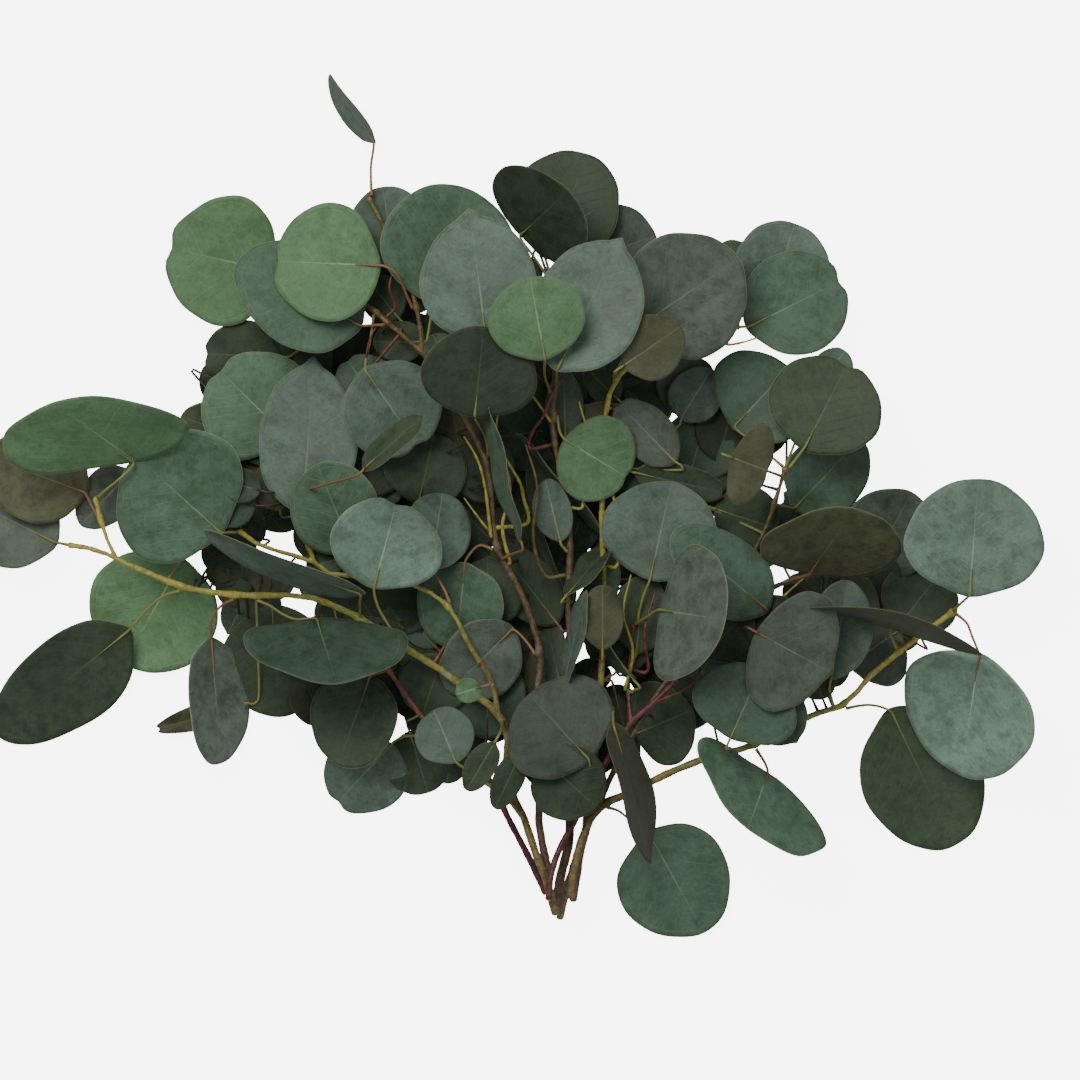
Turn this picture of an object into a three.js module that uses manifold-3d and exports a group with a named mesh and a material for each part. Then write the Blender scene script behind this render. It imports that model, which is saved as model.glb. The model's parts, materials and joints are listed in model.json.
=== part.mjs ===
// A bunch of silver dollar eucalyptus: eight cut branches gathered at their stem ends, with round leaves
// on thin stalks. It lies on its back. Millimetres: +X across, +Y from the cut ends to the tips, +Z up.
import * as THREE from 'three';
import { mergeVertices } from 'three/addons/utils/BufferGeometryUtils.js';
import Module from 'manifold-3d';

const wasm = await Module();
wasm.setup();

// Leaves
const BLADE_THICKNESS = 1.2;
const BLADE_BELLY = 0.10; // how far the widest part sits towards the stalk
const BLADE_CUP = 0.07; // rise of the edges, as a part of the half width
const BLADE_DROOP = 0.05; // fall of the tip, as a part of the length
const OUTLINE_POINTS = 14;
const INNER_RING = 0.55;
const TIP_FORMS = { round: 0, notched: -0.05, pointed: 0.06 };
const TILT = 7; // how far a leaf's tip and right edge stand above or below level, at most, unless stated

// Stalks, which are part of their leaves
const STALK_RADIUS = 0.75;
const STALK_SIDES = 4;
const STALK_STEP = 8;
const STALK_ROOT = 4; // length of the stalk inside its blade
const STALK_END_GAP = 1.0;
const STALK_END_ZONE = 2.5; // the last stretch, where a stalk meets the branch that it grows from

// Branches
const BRANCH_SIDES = 6;
const BRANCH_STEP = 11;
const SLOPE_LIMIT = 0.8;
const BED_HEIGHT = 32; // how high the leaves beneath hold the branches up
const BED_START = 15;
const BED_END = 120;

// The middle of the bunch, measured from where the stem ends meet
const MIDDLE_X = -31.5;
const MIDDLE_Y = 225;

// The pile
const CELL = 2;
const AIR = 1.0; // least air between a piece and what lies beneath it, unless stated
const ROUTE_STEP = 4;
const FIELD_LEFT = -330;
const FIELD_FRONT = -20;
const FIELD_COLUMNS = 320;
const FIELD_ROWS = 250;

const TONES = {
  fresh: 0x6b8a4c,
  green: 0x52735a,
  glaucous: 0x6d8a80,
  grey: 0x64706a,
  dark: 0x3c4b3c,
  olive: 0x4c5140,
  yellow_twig: 0x8f8a3a,
  brown_bark: 0x6f5b3c,
  red_bark: 0x6a2b38,
};

// ---- What lies beneath: the highest point so far over each cell of the surface ----

const field = new Float32Array(FIELD_COLUMNS * FIELD_ROWS);

function cellAt(x, y) {
  const column = Math.floor((x - FIELD_LEFT) / CELL);
  const row = Math.floor((y - FIELD_FRONT) / CELL);
  return row * FIELD_COLUMNS + column;
}

function heightBeneath(x, y) {
  let height = 0;
  for (const dx of [-CELL, 0, CELL]) {
    for (const dy of [-CELL, 0, CELL]) {
      height = Math.max(height, field[cellAt(x + dx, y + dy)]);
    }
  }
  return height;
}

function cover(point, halfThickness) {
  const cell = cellAt(point.x, point.y);
  field[cell] = Math.max(field[cell], point.z + halfThickness);
}

// ---- Leaves ----

// A leaf runs from its stalk end to its tip. across is the half width, from the midrib to the right edge.
function leaf(name, tone, base, tip, width, host, joint, options = {}) {
  const rise = options.rise ?? TILT * Math.sin(base[0] + 0.7 * base[1]);
  const along = new THREE.Vector3(tip[0] - base[0], tip[1] - base[1], rise);
  const flat = new THREE.Vector3(along.y, -along.x, 0).setLength(width / 2);
  flat.z = options.lean ?? TILT * Math.cos(0.7 * base[0] + base[1]);
  const across = options.across ? new THREE.Vector3(...options.across) : flat;
  return {
    name,
    tone,
    base: new THREE.Vector3(base[0], base[1], 0),
    along,
    across,
    normal: new THREE.Vector3().crossVectors(across, along).normalize(),
    host,
    joint,
    via: options.via ?? [],
    tip: TIP_FORMS[options.form ?? 'round'],
    air: options.air ?? AIR,
    };
}

function outlinePoint(blade, index) {
  const angle = (2 * Math.PI * index) / OUTLINE_POINTS;
  const isTip = 2 * index === OUTLINE_POINTS;
  const u = (1 - Math.cos(angle)) / 2 + (isTip ? blade.tip : 0);
  const v = Math.sin(angle) * (1 + BLADE_BELLY * Math.cos(angle));
  return [u, v];
}

function bend(blade, u, v) {
  const cup = BLADE_CUP * blade.across.length() * v * v;
  const droop = BLADE_DROOP * blade.along.length() * u * u;
  return cup - droop;
}

function bladePoint(blade, u, v, offset = 0) {
  return blade.base
    .clone()
    .addScaledVector(blade.along, u)
    .addScaledVector(blade.across, v)
    .addScaledVector(blade.normal, bend(blade, u, v) + offset);
}

// Calls visit(u, v) all over the blade, closely enough that no cell of the field is missed.
function overBlade(blade, visit) {
  const reach = Math.max(blade.along.length() / 2, blade.across.length());
  const rings = Math.ceil(reach / (CELL * 0.7));
  for (let ring = 0; ring <= rings; ring += 1) {
    const size = ring / rings;
    const spokes = Math.max(1, Math.ceil((2 * Math.PI * reach * size) / (CELL * 0.7)));
    for (let spoke = 0; spoke < spokes; spoke += 1) {
      const angle = (2 * Math.PI * spoke) / spokes;
      const v = Math.sin(angle) * (1 + BLADE_BELLY * Math.cos(angle)) * size;
      visit(0.5 - 0.5 * Math.cos(angle) * size, v);
    }
  }
}

function restBlade(blade) {
  const half = BLADE_THICKNESS / 2;
  let lift = 0;
  overBlade(blade, (u, v) => {
    const point = bladePoint(blade, u, v);
    lift = Math.max(lift, heightBeneath(point.x, point.y) + blade.air + half - point.z);
  });
  blade.base.z += lift;
  overBlade(blade, (u, v) => cover(bladePoint(blade, u, v), half));
}

function bladeSolid(blade) {
  const half = BLADE_THICKNESS / 2;
  const corners = [];
  for (let index = 0; index < OUTLINE_POINTS; index += 1) {
    corners.push(outlinePoint(blade, index));
  }
  const ring = corners
    .filter((corner, index) => index % 2 === 0)
    .map(([u, v]) => [0.5 + (u - 0.5) * INNER_RING, v * INNER_RING]);
  const flat = [...corners, ...ring, [0.5, 0]];
  const points = [
    ...flat.map(([u, v]) => bladePoint(blade, u, v, half)),
    ...flat.map(([u, v]) => bladePoint(blade, u, v, -half)),
  ];
  const under = flat.length;
  const centre = flat.length - 1;
  const faces = [];
  const sheet = (a, b, c) => faces.push([a, b, c], [under + a, under + c, under + b]);
  for (let index = 0; index < OUTLINE_POINTS; index += 1) {
    const next = (index + 1) % OUTLINE_POINTS;
    const inner = OUTLINE_POINTS + Math.floor(index / 2);
    const innerNext = OUTLINE_POINTS + ((Math.floor(index / 2) + 1) % ring.length);
    sheet(index, next, index % 2 === 0 ? inner : innerNext);
    faces.push([index, under + index, under + next], [index, under + next, next]);
    if (index % 2 === 0) {
      sheet(inner, next, innerNext);
      sheet(centre, inner, innerNext);
    }
  }
  return solidFrom(points, faces);
}

// ---- Branches ----

// A branch is a main stem and its side twigs, each a list of [x, y] with a radius at each end.
function branch(name, tone, stem, twigs = []) {
  return { name, tone, routes: [stem, ...twigs] };
}

function route(radiusStart, radiusEnd, points) {
  return { radiusStart, radiusEnd, points };
}

function planCurve(points) {
  return new THREE.CatmullRomCurve3(points.map(([x, y]) => new THREE.Vector3(x, y, 0)), false, 'centripetal');
}

function bedHeight(y) {
  return BED_HEIGHT * THREE.MathUtils.smoothstep(y, BED_START, BED_END);
}

// Keeps a list of heights from falling or rising faster than a twig can bend.
function limitSlope(heights) {
  const fall = SLOPE_LIMIT * ROUTE_STEP;
  for (let index = 1; index < heights.length; index += 1) {
    heights[index] = Math.max(heights[index], heights[index - 1] - fall);
  }
  for (let index = heights.length - 2; index >= 0; index -= 1) {
    heights[index] = Math.max(heights[index], heights[index + 1] - fall);
  }
}

function widest(heights, index) {
  return Math.max(...heights.slice(Math.max(0, index - 2), index + 3));
}

function average(heights, index) {
  const near = heights.slice(Math.max(0, index - 2), index + 3);
  return near.reduce((sum, height) => sum + height, 0) / near.length;
}

function restBranch(item) {
  item.tubes = [];
  for (const { radiusStart, radiusEnd, points } of item.routes) {
    const curve = planCurve(points);
    const steps = Math.max(2, Math.round(curve.getLength() / ROUTE_STEP));
    const line = curve.getSpacedPoints(steps);
    const radii = line.map((point, index) => THREE.MathUtils.lerp(radiusStart, radiusEnd, index / steps));
    const needed = line.map(
      (point, index) => Math.max(heightBeneath(point.x, point.y) + AIR, bedHeight(point.y)) + radii[index],
    );
    limitSlope(needed);
    const wide = needed.map((height, index) => widest(needed, index));
    line.forEach((point, index) => {
      point.z = average(wide, index);
    });
    if (item.tubes.length > 0) {
      joinToParent(line, item.tubes);
    }
    item.tubes.push({ line, radii });
  }
  for (const { line, radii } of item.tubes) {
    coverTube(line, radii);
  }
}

// A side twig starts on the middle line of the stem that it grows from.
function joinToParent(line, tubes) {
  const start = nearestOnTubes(tubes, line[0].x, line[0].y).point;
  const shift = start.z - line[0].z;
  line[0].copy(start);
  for (let index = 1; index < Math.min(6, line.length); index += 1) {
    line[index].z += Math.max(0, shift * (1 - index / 6));
  }
}

function coverTube(line, radii) {
  for (let index = 1; index < line.length; index += 1) {
    for (let part = 0; part <= 1; part += 0.25) {
      const middle = line[index - 1].clone().lerp(line[index], part);
      const radius = radii[index];
      for (let dx = -radius; dx <= radius; dx += radius / 2) {
        for (let dy = -radius; dy <= radius; dy += radius / 2) {
          cover(new THREE.Vector3(middle.x + dx, middle.y + dy, middle.z), radius);
        }
      }
    }
  }
}

function nearestOnTubes(tubes, x, y) {
  let best = { distance: Infinity };
  for (const { line, radii } of tubes) {
    line.forEach((point, index) => {
      const distance = Math.hypot(point.x - x, point.y - y);
      if (distance < best.distance) {
        const before = line[Math.max(0, index - 1)];
        const after = line[Math.min(line.length - 1, index + 1)];
        const heading = after.clone().sub(before).normalize();
        best = { distance, point: point.clone(), radius: radii[index], heading };
      }
    });
  }
  return best;
}

function branchSolid(item) {
  const tubes = item.tubes.map(({ line, radii }) => {
    const curve = new THREE.CatmullRomCurve3(line, false, 'centripetal');
    return tubeSolid(curve, radii[0], radii[radii.length - 1], BRANCH_SIDES, BRANCH_STEP);
  });
  return tubes.reduce((whole, tube) => whole.add(tube));
}

// ---- Stalks ----

// How deep a ball at this point sinks into the pieces around it; below zero it is clear of them all.
function depthInPieces(point, radius, ownLeaf, host, end, blades, branches) {
  let depth = -Infinity;
  const local = new THREE.Vector3();
  const segment = new THREE.Line3();
  for (const blade of blades) {
    if (point.distanceTo(blade.middle) > blade.reach + radius) {
      continue;
    }
    local.copy(point).sub(blade.base).applyMatrix3(blade.toLocal);
    const across = local.y / (1 + BLADE_BELLY * (1 - 2 * local.x));
    const size = Math.hypot(2 * local.x - 1, across);
    const rim = blade === ownLeaf ? 0.9 : 1 + (radius + 0.5) / blade.narrow;
    if (size < rim) {
      const above = Math.abs(local.z - bend(blade, local.x, local.y));
      depth = Math.max(depth, BLADE_THICKNESS / 2 + radius - above);
    }
  }
  for (const { tubes, name } of branches) {
    if (name === host && point.distanceTo(end) < STALK_END_ZONE) {
      continue;
    }
    for (const { line, radii } of tubes) {
      for (let index = 1; index < line.length; index += 1) {
        segment.set(line[index - 1], line[index]).closestPointToPoint(point, true, local);
        depth = Math.max(depth, radii[index - 1] + radius - point.distanceTo(local) + 0.3);
      }
    }
  }
  return depth;
}

function stalkPoints(blade, end, bow, sway) {
  const start = bladePoint(blade, STALK_ROOT / blade.along.length(), 0);
  const root = bladePoint(blade, 0, 0);
  const route3 = [start, root];
  const via = blade.via.map(([x, y]) => new THREE.Vector3(x, y, 0));
  const stops = [root, ...via, end];
  const side = new THREE.Vector3(root.y - end.y, end.x - root.x, 0).normalize();
  const lengths = [0];
  for (let index = 1; index < stops.length; index += 1) {
    const step = Math.hypot(stops[index].x - stops[index - 1].x, stops[index].y - stops[index - 1].y);
    lengths.push(lengths[index - 1] + step);
  }
  const total = lengths[lengths.length - 1];
  if (via.length === 0) {
    const middle = root.clone().lerp(end, 0.5).addScaledVector(side, sway);
    middle.z += bow;
    route3.push(middle);
  } else {
    via.forEach((point, index) => {
      const part = lengths[index + 1] / total;
      point.z = THREE.MathUtils.lerp(root.z, end.z, part) + 4 * bow * part * (1 - part);
      point.addScaledVector(side, sway * 4 * part * (1 - part) * 0.5);
      route3.push(point);
    });
  }
  route3.push(end);
  return route3;
}

function routeStalk(blade, blades, branches, stalks) {
  const host = branches.find((item) => item.name === blade.host);
  const root = bladePoint(blade, 0, 0);
  const seat = nearestOnTubes(host.tubes, ...blade.joint);
  const last = blade.via.length > 0 ? blade.via[blade.via.length - 1] : [root.x, root.y];
  const arrival = new THREE.Vector3(last[0], last[1], blade.via.length > 0 ? seat.point.z : root.z);
  const back = arrival.sub(seat.point);
  back.addScaledVector(seat.heading, -back.dot(seat.heading));
  if (back.length() < 1) {
    back.set(0, 0, 1);
  }
  const end = seat.point.clone().add(back.setLength(seat.radius + STALK_END_GAP));
  let best = { depth: Infinity };
  for (const bow of [0, 5, -5, 10, -10, 16, -16, 24, -24]) {
    for (const sway of [0, 4, -4, 8, -8, 14, -14]) {
      const points = stalkPoints(blade, end, bow, sway);
      const curve = new THREE.CatmullRomCurve3(points, false, 'centripetal');
      const line = curve.getSpacedPoints(Math.ceil(curve.getLength() / 1.5));
      let depth = -Infinity;
      line.forEach((point, index) => {
        if (index * 1.5 > STALK_ROOT) {
          const radius = STALK_RADIUS + 0.3;
          depth = Math.max(depth, depthInPieces(point, radius, blade, blade.host, end, blades, branches));
          for (const other of stalks) {
            for (const near of other.line) {
              depth = Math.max(depth, 2 * STALK_RADIUS + 1.0 - point.distanceTo(near));
            }
          }
        }
      });
      const score = Math.max(depth, 0) * 100 + Math.abs(bow) + Math.abs(sway);
      if (best.score === undefined || score < best.score) {
        best = { score, depth, curve, line };
      }
    }
  }
  return best;
}

// ---- Solids ----

function solidFrom(points, faces) {
  const mesh = new wasm.Mesh({
    numProp: 3,
    vertProperties: new Float32Array(points.flatMap((point) => [point.x, point.y, point.z])),
    triVerts: new Uint32Array(faces.flat()),
  });
  return new wasm.Manifold(mesh);
}

function solidFromGeometry(geometry) {
  geometry.deleteAttribute('normal');
  geometry.deleteAttribute('uv');
  const merged = mergeVertices(geometry, 1e-3);
  const mesh = new wasm.Mesh({
    numProp: 3,
    vertProperties: new Float32Array(merged.attributes.position.array),
    triVerts: new Uint32Array(merged.index.array),
  });
  return new wasm.Manifold(mesh);
}

function tubeSolid(curve, radiusStart, radiusEnd, sides, step) {
  const section = new THREE.Shape();
  for (let side = 0; side < sides; side += 1) {
    const angle = (2 * Math.PI * side) / sides;
    const corner = [radiusStart * Math.cos(angle), radiusStart * Math.sin(angle)];
    if (side === 0) {
      section.moveTo(...corner);
    } else {
      section.lineTo(...corner);
    }
  }
  const steps = Math.max(2, Math.round(curve.getLength() / step));
  const geometry = new THREE.ExtrudeGeometry(section, { steps, extrudePath: curve, curveSegments: 1 });
  taper(geometry, curve.getSpacedPoints(steps), radiusEnd / radiusStart);
  return solidFromGeometry(geometry);
}

// Draws each ring of an extruded tube in towards its own middle, down to the end scale at the last ring.
function taper(geometry, middles, endScale) {
  const corners = geometry.attributes.position;
  const corner = new THREE.Vector3();
  for (let index = 0; index < corners.count; index += 1) {
    corner.fromBufferAttribute(corners, index);
    let ring = 0;
    middles.forEach((middle, candidate) => {
      if (middle.distanceTo(corner) < middles[ring].distanceTo(corner)) {
        ring = candidate;
      }
    });
    const scale = THREE.MathUtils.lerp(1, endScale, ring / (middles.length - 1));
    corner.sub(middles[ring]).multiplyScalar(scale).add(middles[ring]);
    corners.setXYZ(index, corner.x, corner.y, corner.z);
  }
}

function meshFrom(name, tone, solid) {
  const { vertProperties, triVerts } = solid.getMesh();
  const geometry = new THREE.BufferGeometry();
  geometry.setAttribute('position', new THREE.BufferAttribute(vertProperties, 3));
  geometry.setIndex(new THREE.BufferAttribute(triVerts, 1));
  const material = new THREE.MeshStandardMaterial({ color: TONES[tone], roughness: 0.6, metalness: 0 });
  const mesh = new THREE.Mesh(geometry, material);
  mesh.name = name;
  return mesh;
}

// ---- The bunch, from the back to the front ----

const stemLeft = branch(
  'branch_left_long',
  'yellow_twig',
  route(2.2, 1.1, [
    [-2, 12], [-8, 33], [-13, 45], [-19, 63], [-25, 75], [-28, 90], [-27, 103], [-32, 117], [-50, 131],
    [-65, 142], [-80, 151], [-95, 161], [-110, 170], [-133, 178.5], [-150, 179], [-171, 179.5], [-197, 183.5],
    [-220, 193], [-232, 197.5], [-240, 203], [-250, 204], [-257, 205.5],
  ]),
  [
    route(1.2, 0.9, [
      [-32, 117], [-36, 135], [-46, 150.5], [-59, 174], [-82, 186.5], [-105, 189], [-122, 191],
      [-129, 196.5], [-150, 203], [-160, 207], [-168, 213],
    ]),
    route(1.0, 0.8, [[-129, 196.5], [-134, 214], [-140, 240]]),
    route(1.0, 0.8, [[-232, 197.5], [-238, 212], [-243, 230]]),
    route(1.2, 0.9, [[-19, 63], [-30, 75], [-42, 83]]),
  ],
);
const stemRed = branch(
  'branch_red_left',
  'red_bark',
  route(1.9, 1.0, [
    [-7, 21], [-16, 40], [-21, 50], [-30, 68], [-34, 78], [-50, 98], [-62, 106], [-71, 114], [-76, 121],
    [-84, 132], [-92, 144],
  ]),
);
const stemCore = branch(
  'branch_core_left',
  'brown_bark',
  route(2.0, 1.1, [
    [-5, 30], [-11, 60], [-10, 85], [-14, 110], [-11, 135], [-10, 147], [-20, 180], [-33, 205], [-36, 230],
    [-39, 250], [-50, 272], [-60, 290], [-68, 300], [-72, 306],
  ]),
  [
    route(1.1, 0.9, [[-72, 306], [-88, 320], [-97, 328], [-106, 334]]),
    route(1.1, 0.8, [[-72, 306], [-73, 320], [-80, 347], [-90, 368], [-100, 387]]),
  ],
);
const stemBrown = branch(
  'branch_brown_centre',
  'brown_bark',
  route(2.6, 1.1, [
    [-2, 15], [0, 30], [5, 50], [5, 65], [3, 75], [1, 88], [6, 140], [5, 165], [5, 188], [5, 210], [1, 240],
    [-2, 255], [-4, 270], [-2.5, 288], [-3, 320], [-4, 345],
  ]),
);
const stemYellow = branch(
  'branch_yellow_centre',
  'yellow_twig',
  route(2.0, 1.0, [
    [0, 8], [5, 30], [12, 50], [15, 70], [18, 97], [20, 115], [22, 145], [24, 164], [23, 186], [22, 230],
    [25, 280], [30, 293], [50, 308], [72, 316], [90, 319],
  ]),
);
const stemMaroon = branch(
  'branch_maroon_front',
  'red_bark',
  route(1.7, 1.0, [
    [-6, 20], [-5, 33], [0, 47], [10, 65], [20, 85], [27, 97], [37, 113], [50, 124], [61, 135], [73, 147],
    [83, 154], [95, 162], [105, 168],
  ]),
  [route(1.1, 0.8, [[37, 113], [35.5, 135], [37, 150], [38.5, 164]])],
);
const stemRight = branch(
  'branch_right_long',
  'yellow_twig',
  route(2.0, 1.2, [
    [6, 20], [8, 40], [15, 60], [22, 70], [28, 71.5], [42, 78.5], [70, 91.5], [100, 100.5], [115, 108],
    [130, 116], [150, 123], [160, 135], [178, 150], [195, 163], [206, 171],
  ]),
);
const stemInner = branch(
  'branch_right_inner',
  'brown_bark',
  route(1.9, 1.0, [
    [7, 17], [14, 55], [25, 80], [40, 110], [60, 140], [80, 162], [103, 179], [127, 189], [142, 190],
  ]),
  [route(1.1, 0.8, [[80, 162], [95, 190], [108, 215], [113, 230], [118, 246]])],
);

const BUNCH = [
  leaf('leaf_low_left_2', 'glaucous', [-89, 100], [-118, 68], 44, 'branch_red_left', [-62, 106], {
    form: 'notched',
    via: [[-84, 104], [-75, 105.3]],
  }),
  leaf('leaf_low_left_1', 'dark', [-100, 136], [-117, 90], 46, 'branch_red_left', [-91, 142]),
  leaf('leaf_left_4', 'fresh', [-200, 197], [-230, 142], 69, 'branch_left_long', [-207, 187]),
  leaf('leaf_low_right_1', 'green', [47, 53], [76, 0.5], 60, 'branch_right_long', [24, 70], {
    via: [[38, 60], [29, 67]],
  }),
  leaf('leaf_low_right_3', 'dark', [175, 117], [210, 46], 65, 'branch_right_long', [150, 123], {
    via: [[168, 120.5], [160, 121.5]],
  }),
  leaf('leaf_centre_back', 'dark', [40, 106], [69, 118], 47, 'branch_right_inner', [36, 101], { air: 10 }),
  leaf('leaf_right_3', 'green', [124, 225], [160, 262], 42, 'branch_right_inner', [112, 227]),
  leaf('leaf_top_right_3', 'glaucous', [112, 335], [124, 375.5], 50, 'branch_yellow_centre', [80, 318]),
  leaf('leaf_top_right_4', 'green', [92, 268], [121, 300], 56, 'branch_right_inner', [118, 246], { air: 12 }),
  leaf('leaf_top_3', 'dark', [-8, 358], [15, 411.5], 58, 'branch_brown_centre', [-4, 345], { air: 14 }),
  leaf('leaf_top_far', 'glaucous', [-98, 417], [-124, 451], 9, 'branch_core_left', [-100, 387], {
    lean: 17,
    via: [[-99, 403]],
  }),
  stemInner,
  stemRed,
  stemYellow,
  leaf('leaf_top_left_1', 'fresh', [-150, 349], [-207, 362], 68, 'branch_core_left', [-106, 334], {
    form: 'notched',
    air: 12,
  }),
  leaf('leaf_top_right_2', 'green', [100, 320.5], [150, 346], 56, 'branch_yellow_centre', [90, 319], {
    form: 'notched',
  }),
  leaf('leaf_right_5', 'grey', [163, 192], [186, 233], 48, 'branch_right_inner', [142, 190]),
  leaf('leaf_top_right_1', 'grey', [42, 320], [93, 354], 66, 'branch_yellow_centre', [30, 293]),
  stemBrown,
  stemCore,
  leaf('leaf_top_1', 'green', [-66, 333], [-49, 393], 72, 'branch_core_left', [-72, 306]),
  leaf('leaf_top_2', 'dark', [-21, 367], [3, 388], 62, 'branch_brown_centre', [-4, 345], { rise: 34 }),
  leaf('leaf_top_5', 'glaucous', [-1, 297], [30, 361], 56, 'branch_brown_centre', [-2.5, 288], {
    form: 'pointed',
  }),
  leaf('leaf_top_4', 'glaucous', [-38, 311], [-46.5, 375.5], 60, 'branch_core_left', [-60, 290], {
    form: 'pointed',
  }),
  leaf('leaf_centre_left_5', 'green', [-50, 195], [-55, 150], 46, 'branch_core_left', [-33, 205], {
    air: 14,
    via: [[-47, 201], [-40, 206]],
  }),
  leaf('leaf_centre_left_6', 'grey', [-25, 161], [-58, 128], 40, 'branch_core_left', [-10, 147], {
    via: [[-18, 161], [-13, 154]],
  }),
  stemLeft,
  leaf('leaf_left_upper_2', 'green', [-143, 262], [-180, 298], 62, 'branch_left_long', [-140, 240], {
    form: 'notched',
    air: 14,
  }),
  leaf('leaf_top_left_2', 'green', [-104, 320], [-167, 354], 56, 'branch_core_left', [-90, 322]),
  leaf('leaf_left_3', 'green', [-177, 212], [-222, 252], 75, 'branch_left_long', [-168, 213]),
  leaf('leaf_left_upper_1', 'glaucous', [-134, 224], [-129, 300], 52, 'branch_left_long', [-132, 205], {
    form: 'pointed',
  }),
  leaf('leaf_centre_left_4', 'glaucous', [-101, 296], [-73, 255.5], 54, 'branch_core_left', [-97, 328], {
    form: 'notched',
    via: [[-101, 304], [-99, 313]],
  }),
  leaf('leaf_centre_left_3', 'green', [-108, 202], [-127, 247.5], 46, 'branch_left_long', [-105, 189]),
  leaf('leaf_centre_left_2', 'glaucous', [-67.5, 194], [-61, 233], 36, 'branch_left_long', [-59, 174], {
    via: [[-64, 185], [-60, 178]],
  }),
  leaf('leaf_centre_left_1', 'glaucous', [-96.5, 184], [-84, 228.5], 58, 'branch_left_long', [-88, 156], {
    form: 'notched',
    via: [[-96, 176], [-92, 168]],
  }),
  leaf('leaf_centre_top_1', 'dark', [-44, 272], [-39, 317], 60, 'branch_core_left', [-40, 252], {
    via: [[-39, 262]],
  }),
  leaf('leaf_centre_top_2', 'fresh', [-8, 302], [-16, 343], 50, 'branch_brown_centre', [-3, 284], {
    via: [[-4, 294]],
  }),
  leaf('leaf_top_left_3', 'fresh', [-95, 351], [-149.5, 353.5], 62, 'branch_core_left', [-75, 330], {
    form: 'notched',
    via: [[-86, 350]],
  }),
  leaf('leaf_centre_right_1', 'fresh', [3, 260], [36, 240], 47, 'branch_brown_centre', [-4, 272], {
    form: 'notched',
    via: [[-2, 264]],
  }),
  stemMaroon,
  leaf('leaf_centre_right_2', 'glaucous', [47, 188], [58, 238.5], 60, 'branch_maroon_front', [38.5, 164], {
    via: [[43, 177]],
  }),
  leaf('leaf_right_2', 'dark', [128, 256.5], [151, 302], 60, 'branch_right_inner', [118, 246], {
    form: 'notched',
  }),
  leaf('leaf_centre_right_3', 'green', [107.5, 172], [60, 212], 40, 'branch_maroon_front', [105, 168]),
  leaf('leaf_centre_right_4', 'grey', [51, 172], [82, 168], 69, 'branch_maroon_front', [38.5, 164], {
    rise: 44,
    across: [-8.5, -34.5, 3],
  }),
  stemRight,
  leaf('leaf_left_9', 'green', [-127, 167], [-115, 137], 84, 'branch_left_long', [-160, 179], {
    rise: 40,
    across: [-42, -1, 0],
    via: [[-140, 167], [-152, 174]],
  }),
  leaf('leaf_left_6', 'grey', [-183, 155], [-176, 90], 30, 'branch_left_long', [-171, 179.5], {
    lean: 16,
    via: [[-183, 165], [-178, 173]],
  }),
  leaf('leaf_left_5', 'dark', [-227, 160], [-296, 103], 47, 'branch_left_long', [-197, 183.5], {
    lean: 14,
    via: [[-215, 173], [-205, 180]],
  }),
  leaf('leaf_left_8', 'grey', [-266, 207], [-312, 230], 50, 'branch_left_long', [-257, 205.5], { air: 8 }),
  leaf('leaf_left_7', 'olive', [-250, 233], [-300, 252], 50, 'branch_left_long', [-240, 219]),
  leaf('leaf_left_2', 'fresh', [-222, 248], [-260, 276], 91, 'branch_left_long', [-243, 230], {
    rise: 40,
    across: [44, 11.5, 10],
    via: [[-228, 241], [-237, 234]],
  }),
  leaf('leaf_left_1', 'glaucous', [-104, 180], [-186, 207], 14, 'branch_left_long', [-104, 166], {
    lean: 22,
  }),
  leaf('leaf_low_left_3', 'glaucous', [-54.5, 93], [-66, 120], 31, 'branch_left_long', [-42, 83], {
    via: [[-48, 88]],
  }),
  leaf('leaf_right_4', 'olive', [130, 190], [152, 222], 72, 'branch_right_inner', [124, 188], {
    rise: 34,
    across: [35.5, -5.5, -15],
  }),
  leaf('leaf_right_1', 'glaucous', [213, 180], [218, 240], 73, 'branch_right_long', [206, 171]),
  leaf('leaf_low_right_2', 'glaucous', [218, 148], [209, 84], 68, 'branch_right_long', [206, 171], {
    rise: -20,
    across: [-32, 12, -20],
    via: [[214, 160], [211, 167]],
  }),
  leaf('leaf_right_edge_on', 'olive', [172, 160], [173.5, 166.5], 96, 'branch_right_long', [176, 149], {
    rise: 50,
    across: [46.5, -12, 0],
  }),
  leaf('leaf_low_right_4', 'green', [109, 86], [98, 60], 86, 'branch_right_long', [103, 102], {
    rise: 34,
    across: [-33, 27, 7],
    via: [[107, 92]],
  }),
  leaf('leaf_front_1', 'grey', [15, 94], [-16.5, 128.5], 61, 'branch_maroon_front', [15, 75], {
    via: [[15.5, 86]],
  }),
  leaf('leaf_front_2', 'olive', [28, 112], [50, 42], 17, 'branch_yellow_centre', [20, 118], { lean: 22 }),
];

const isLeaf = (item) => item.along !== undefined;
const blades = BUNCH.filter(isLeaf);
const branches = BUNCH.filter((item) => !isLeaf(item));

for (const item of BUNCH) {
  if (isLeaf(item)) {
    restBlade(item);
  } else {
    restBranch(item);
  }
}
for (const blade of blades) {
  const basis = new THREE.Matrix3().set(
    blade.along.x, blade.across.x, blade.normal.x,
    blade.along.y, blade.across.y, blade.normal.y,
    blade.along.z, blade.across.z, blade.normal.z,
  );
  blade.toLocal = basis.invert();
  blade.middle = bladePoint(blade, 0.5, 0);
  blade.reach = Math.max(blade.along.length(), blade.across.length()) + 8;
  blade.narrow = Math.min(blade.along.length() / 2, blade.across.length());
}

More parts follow.
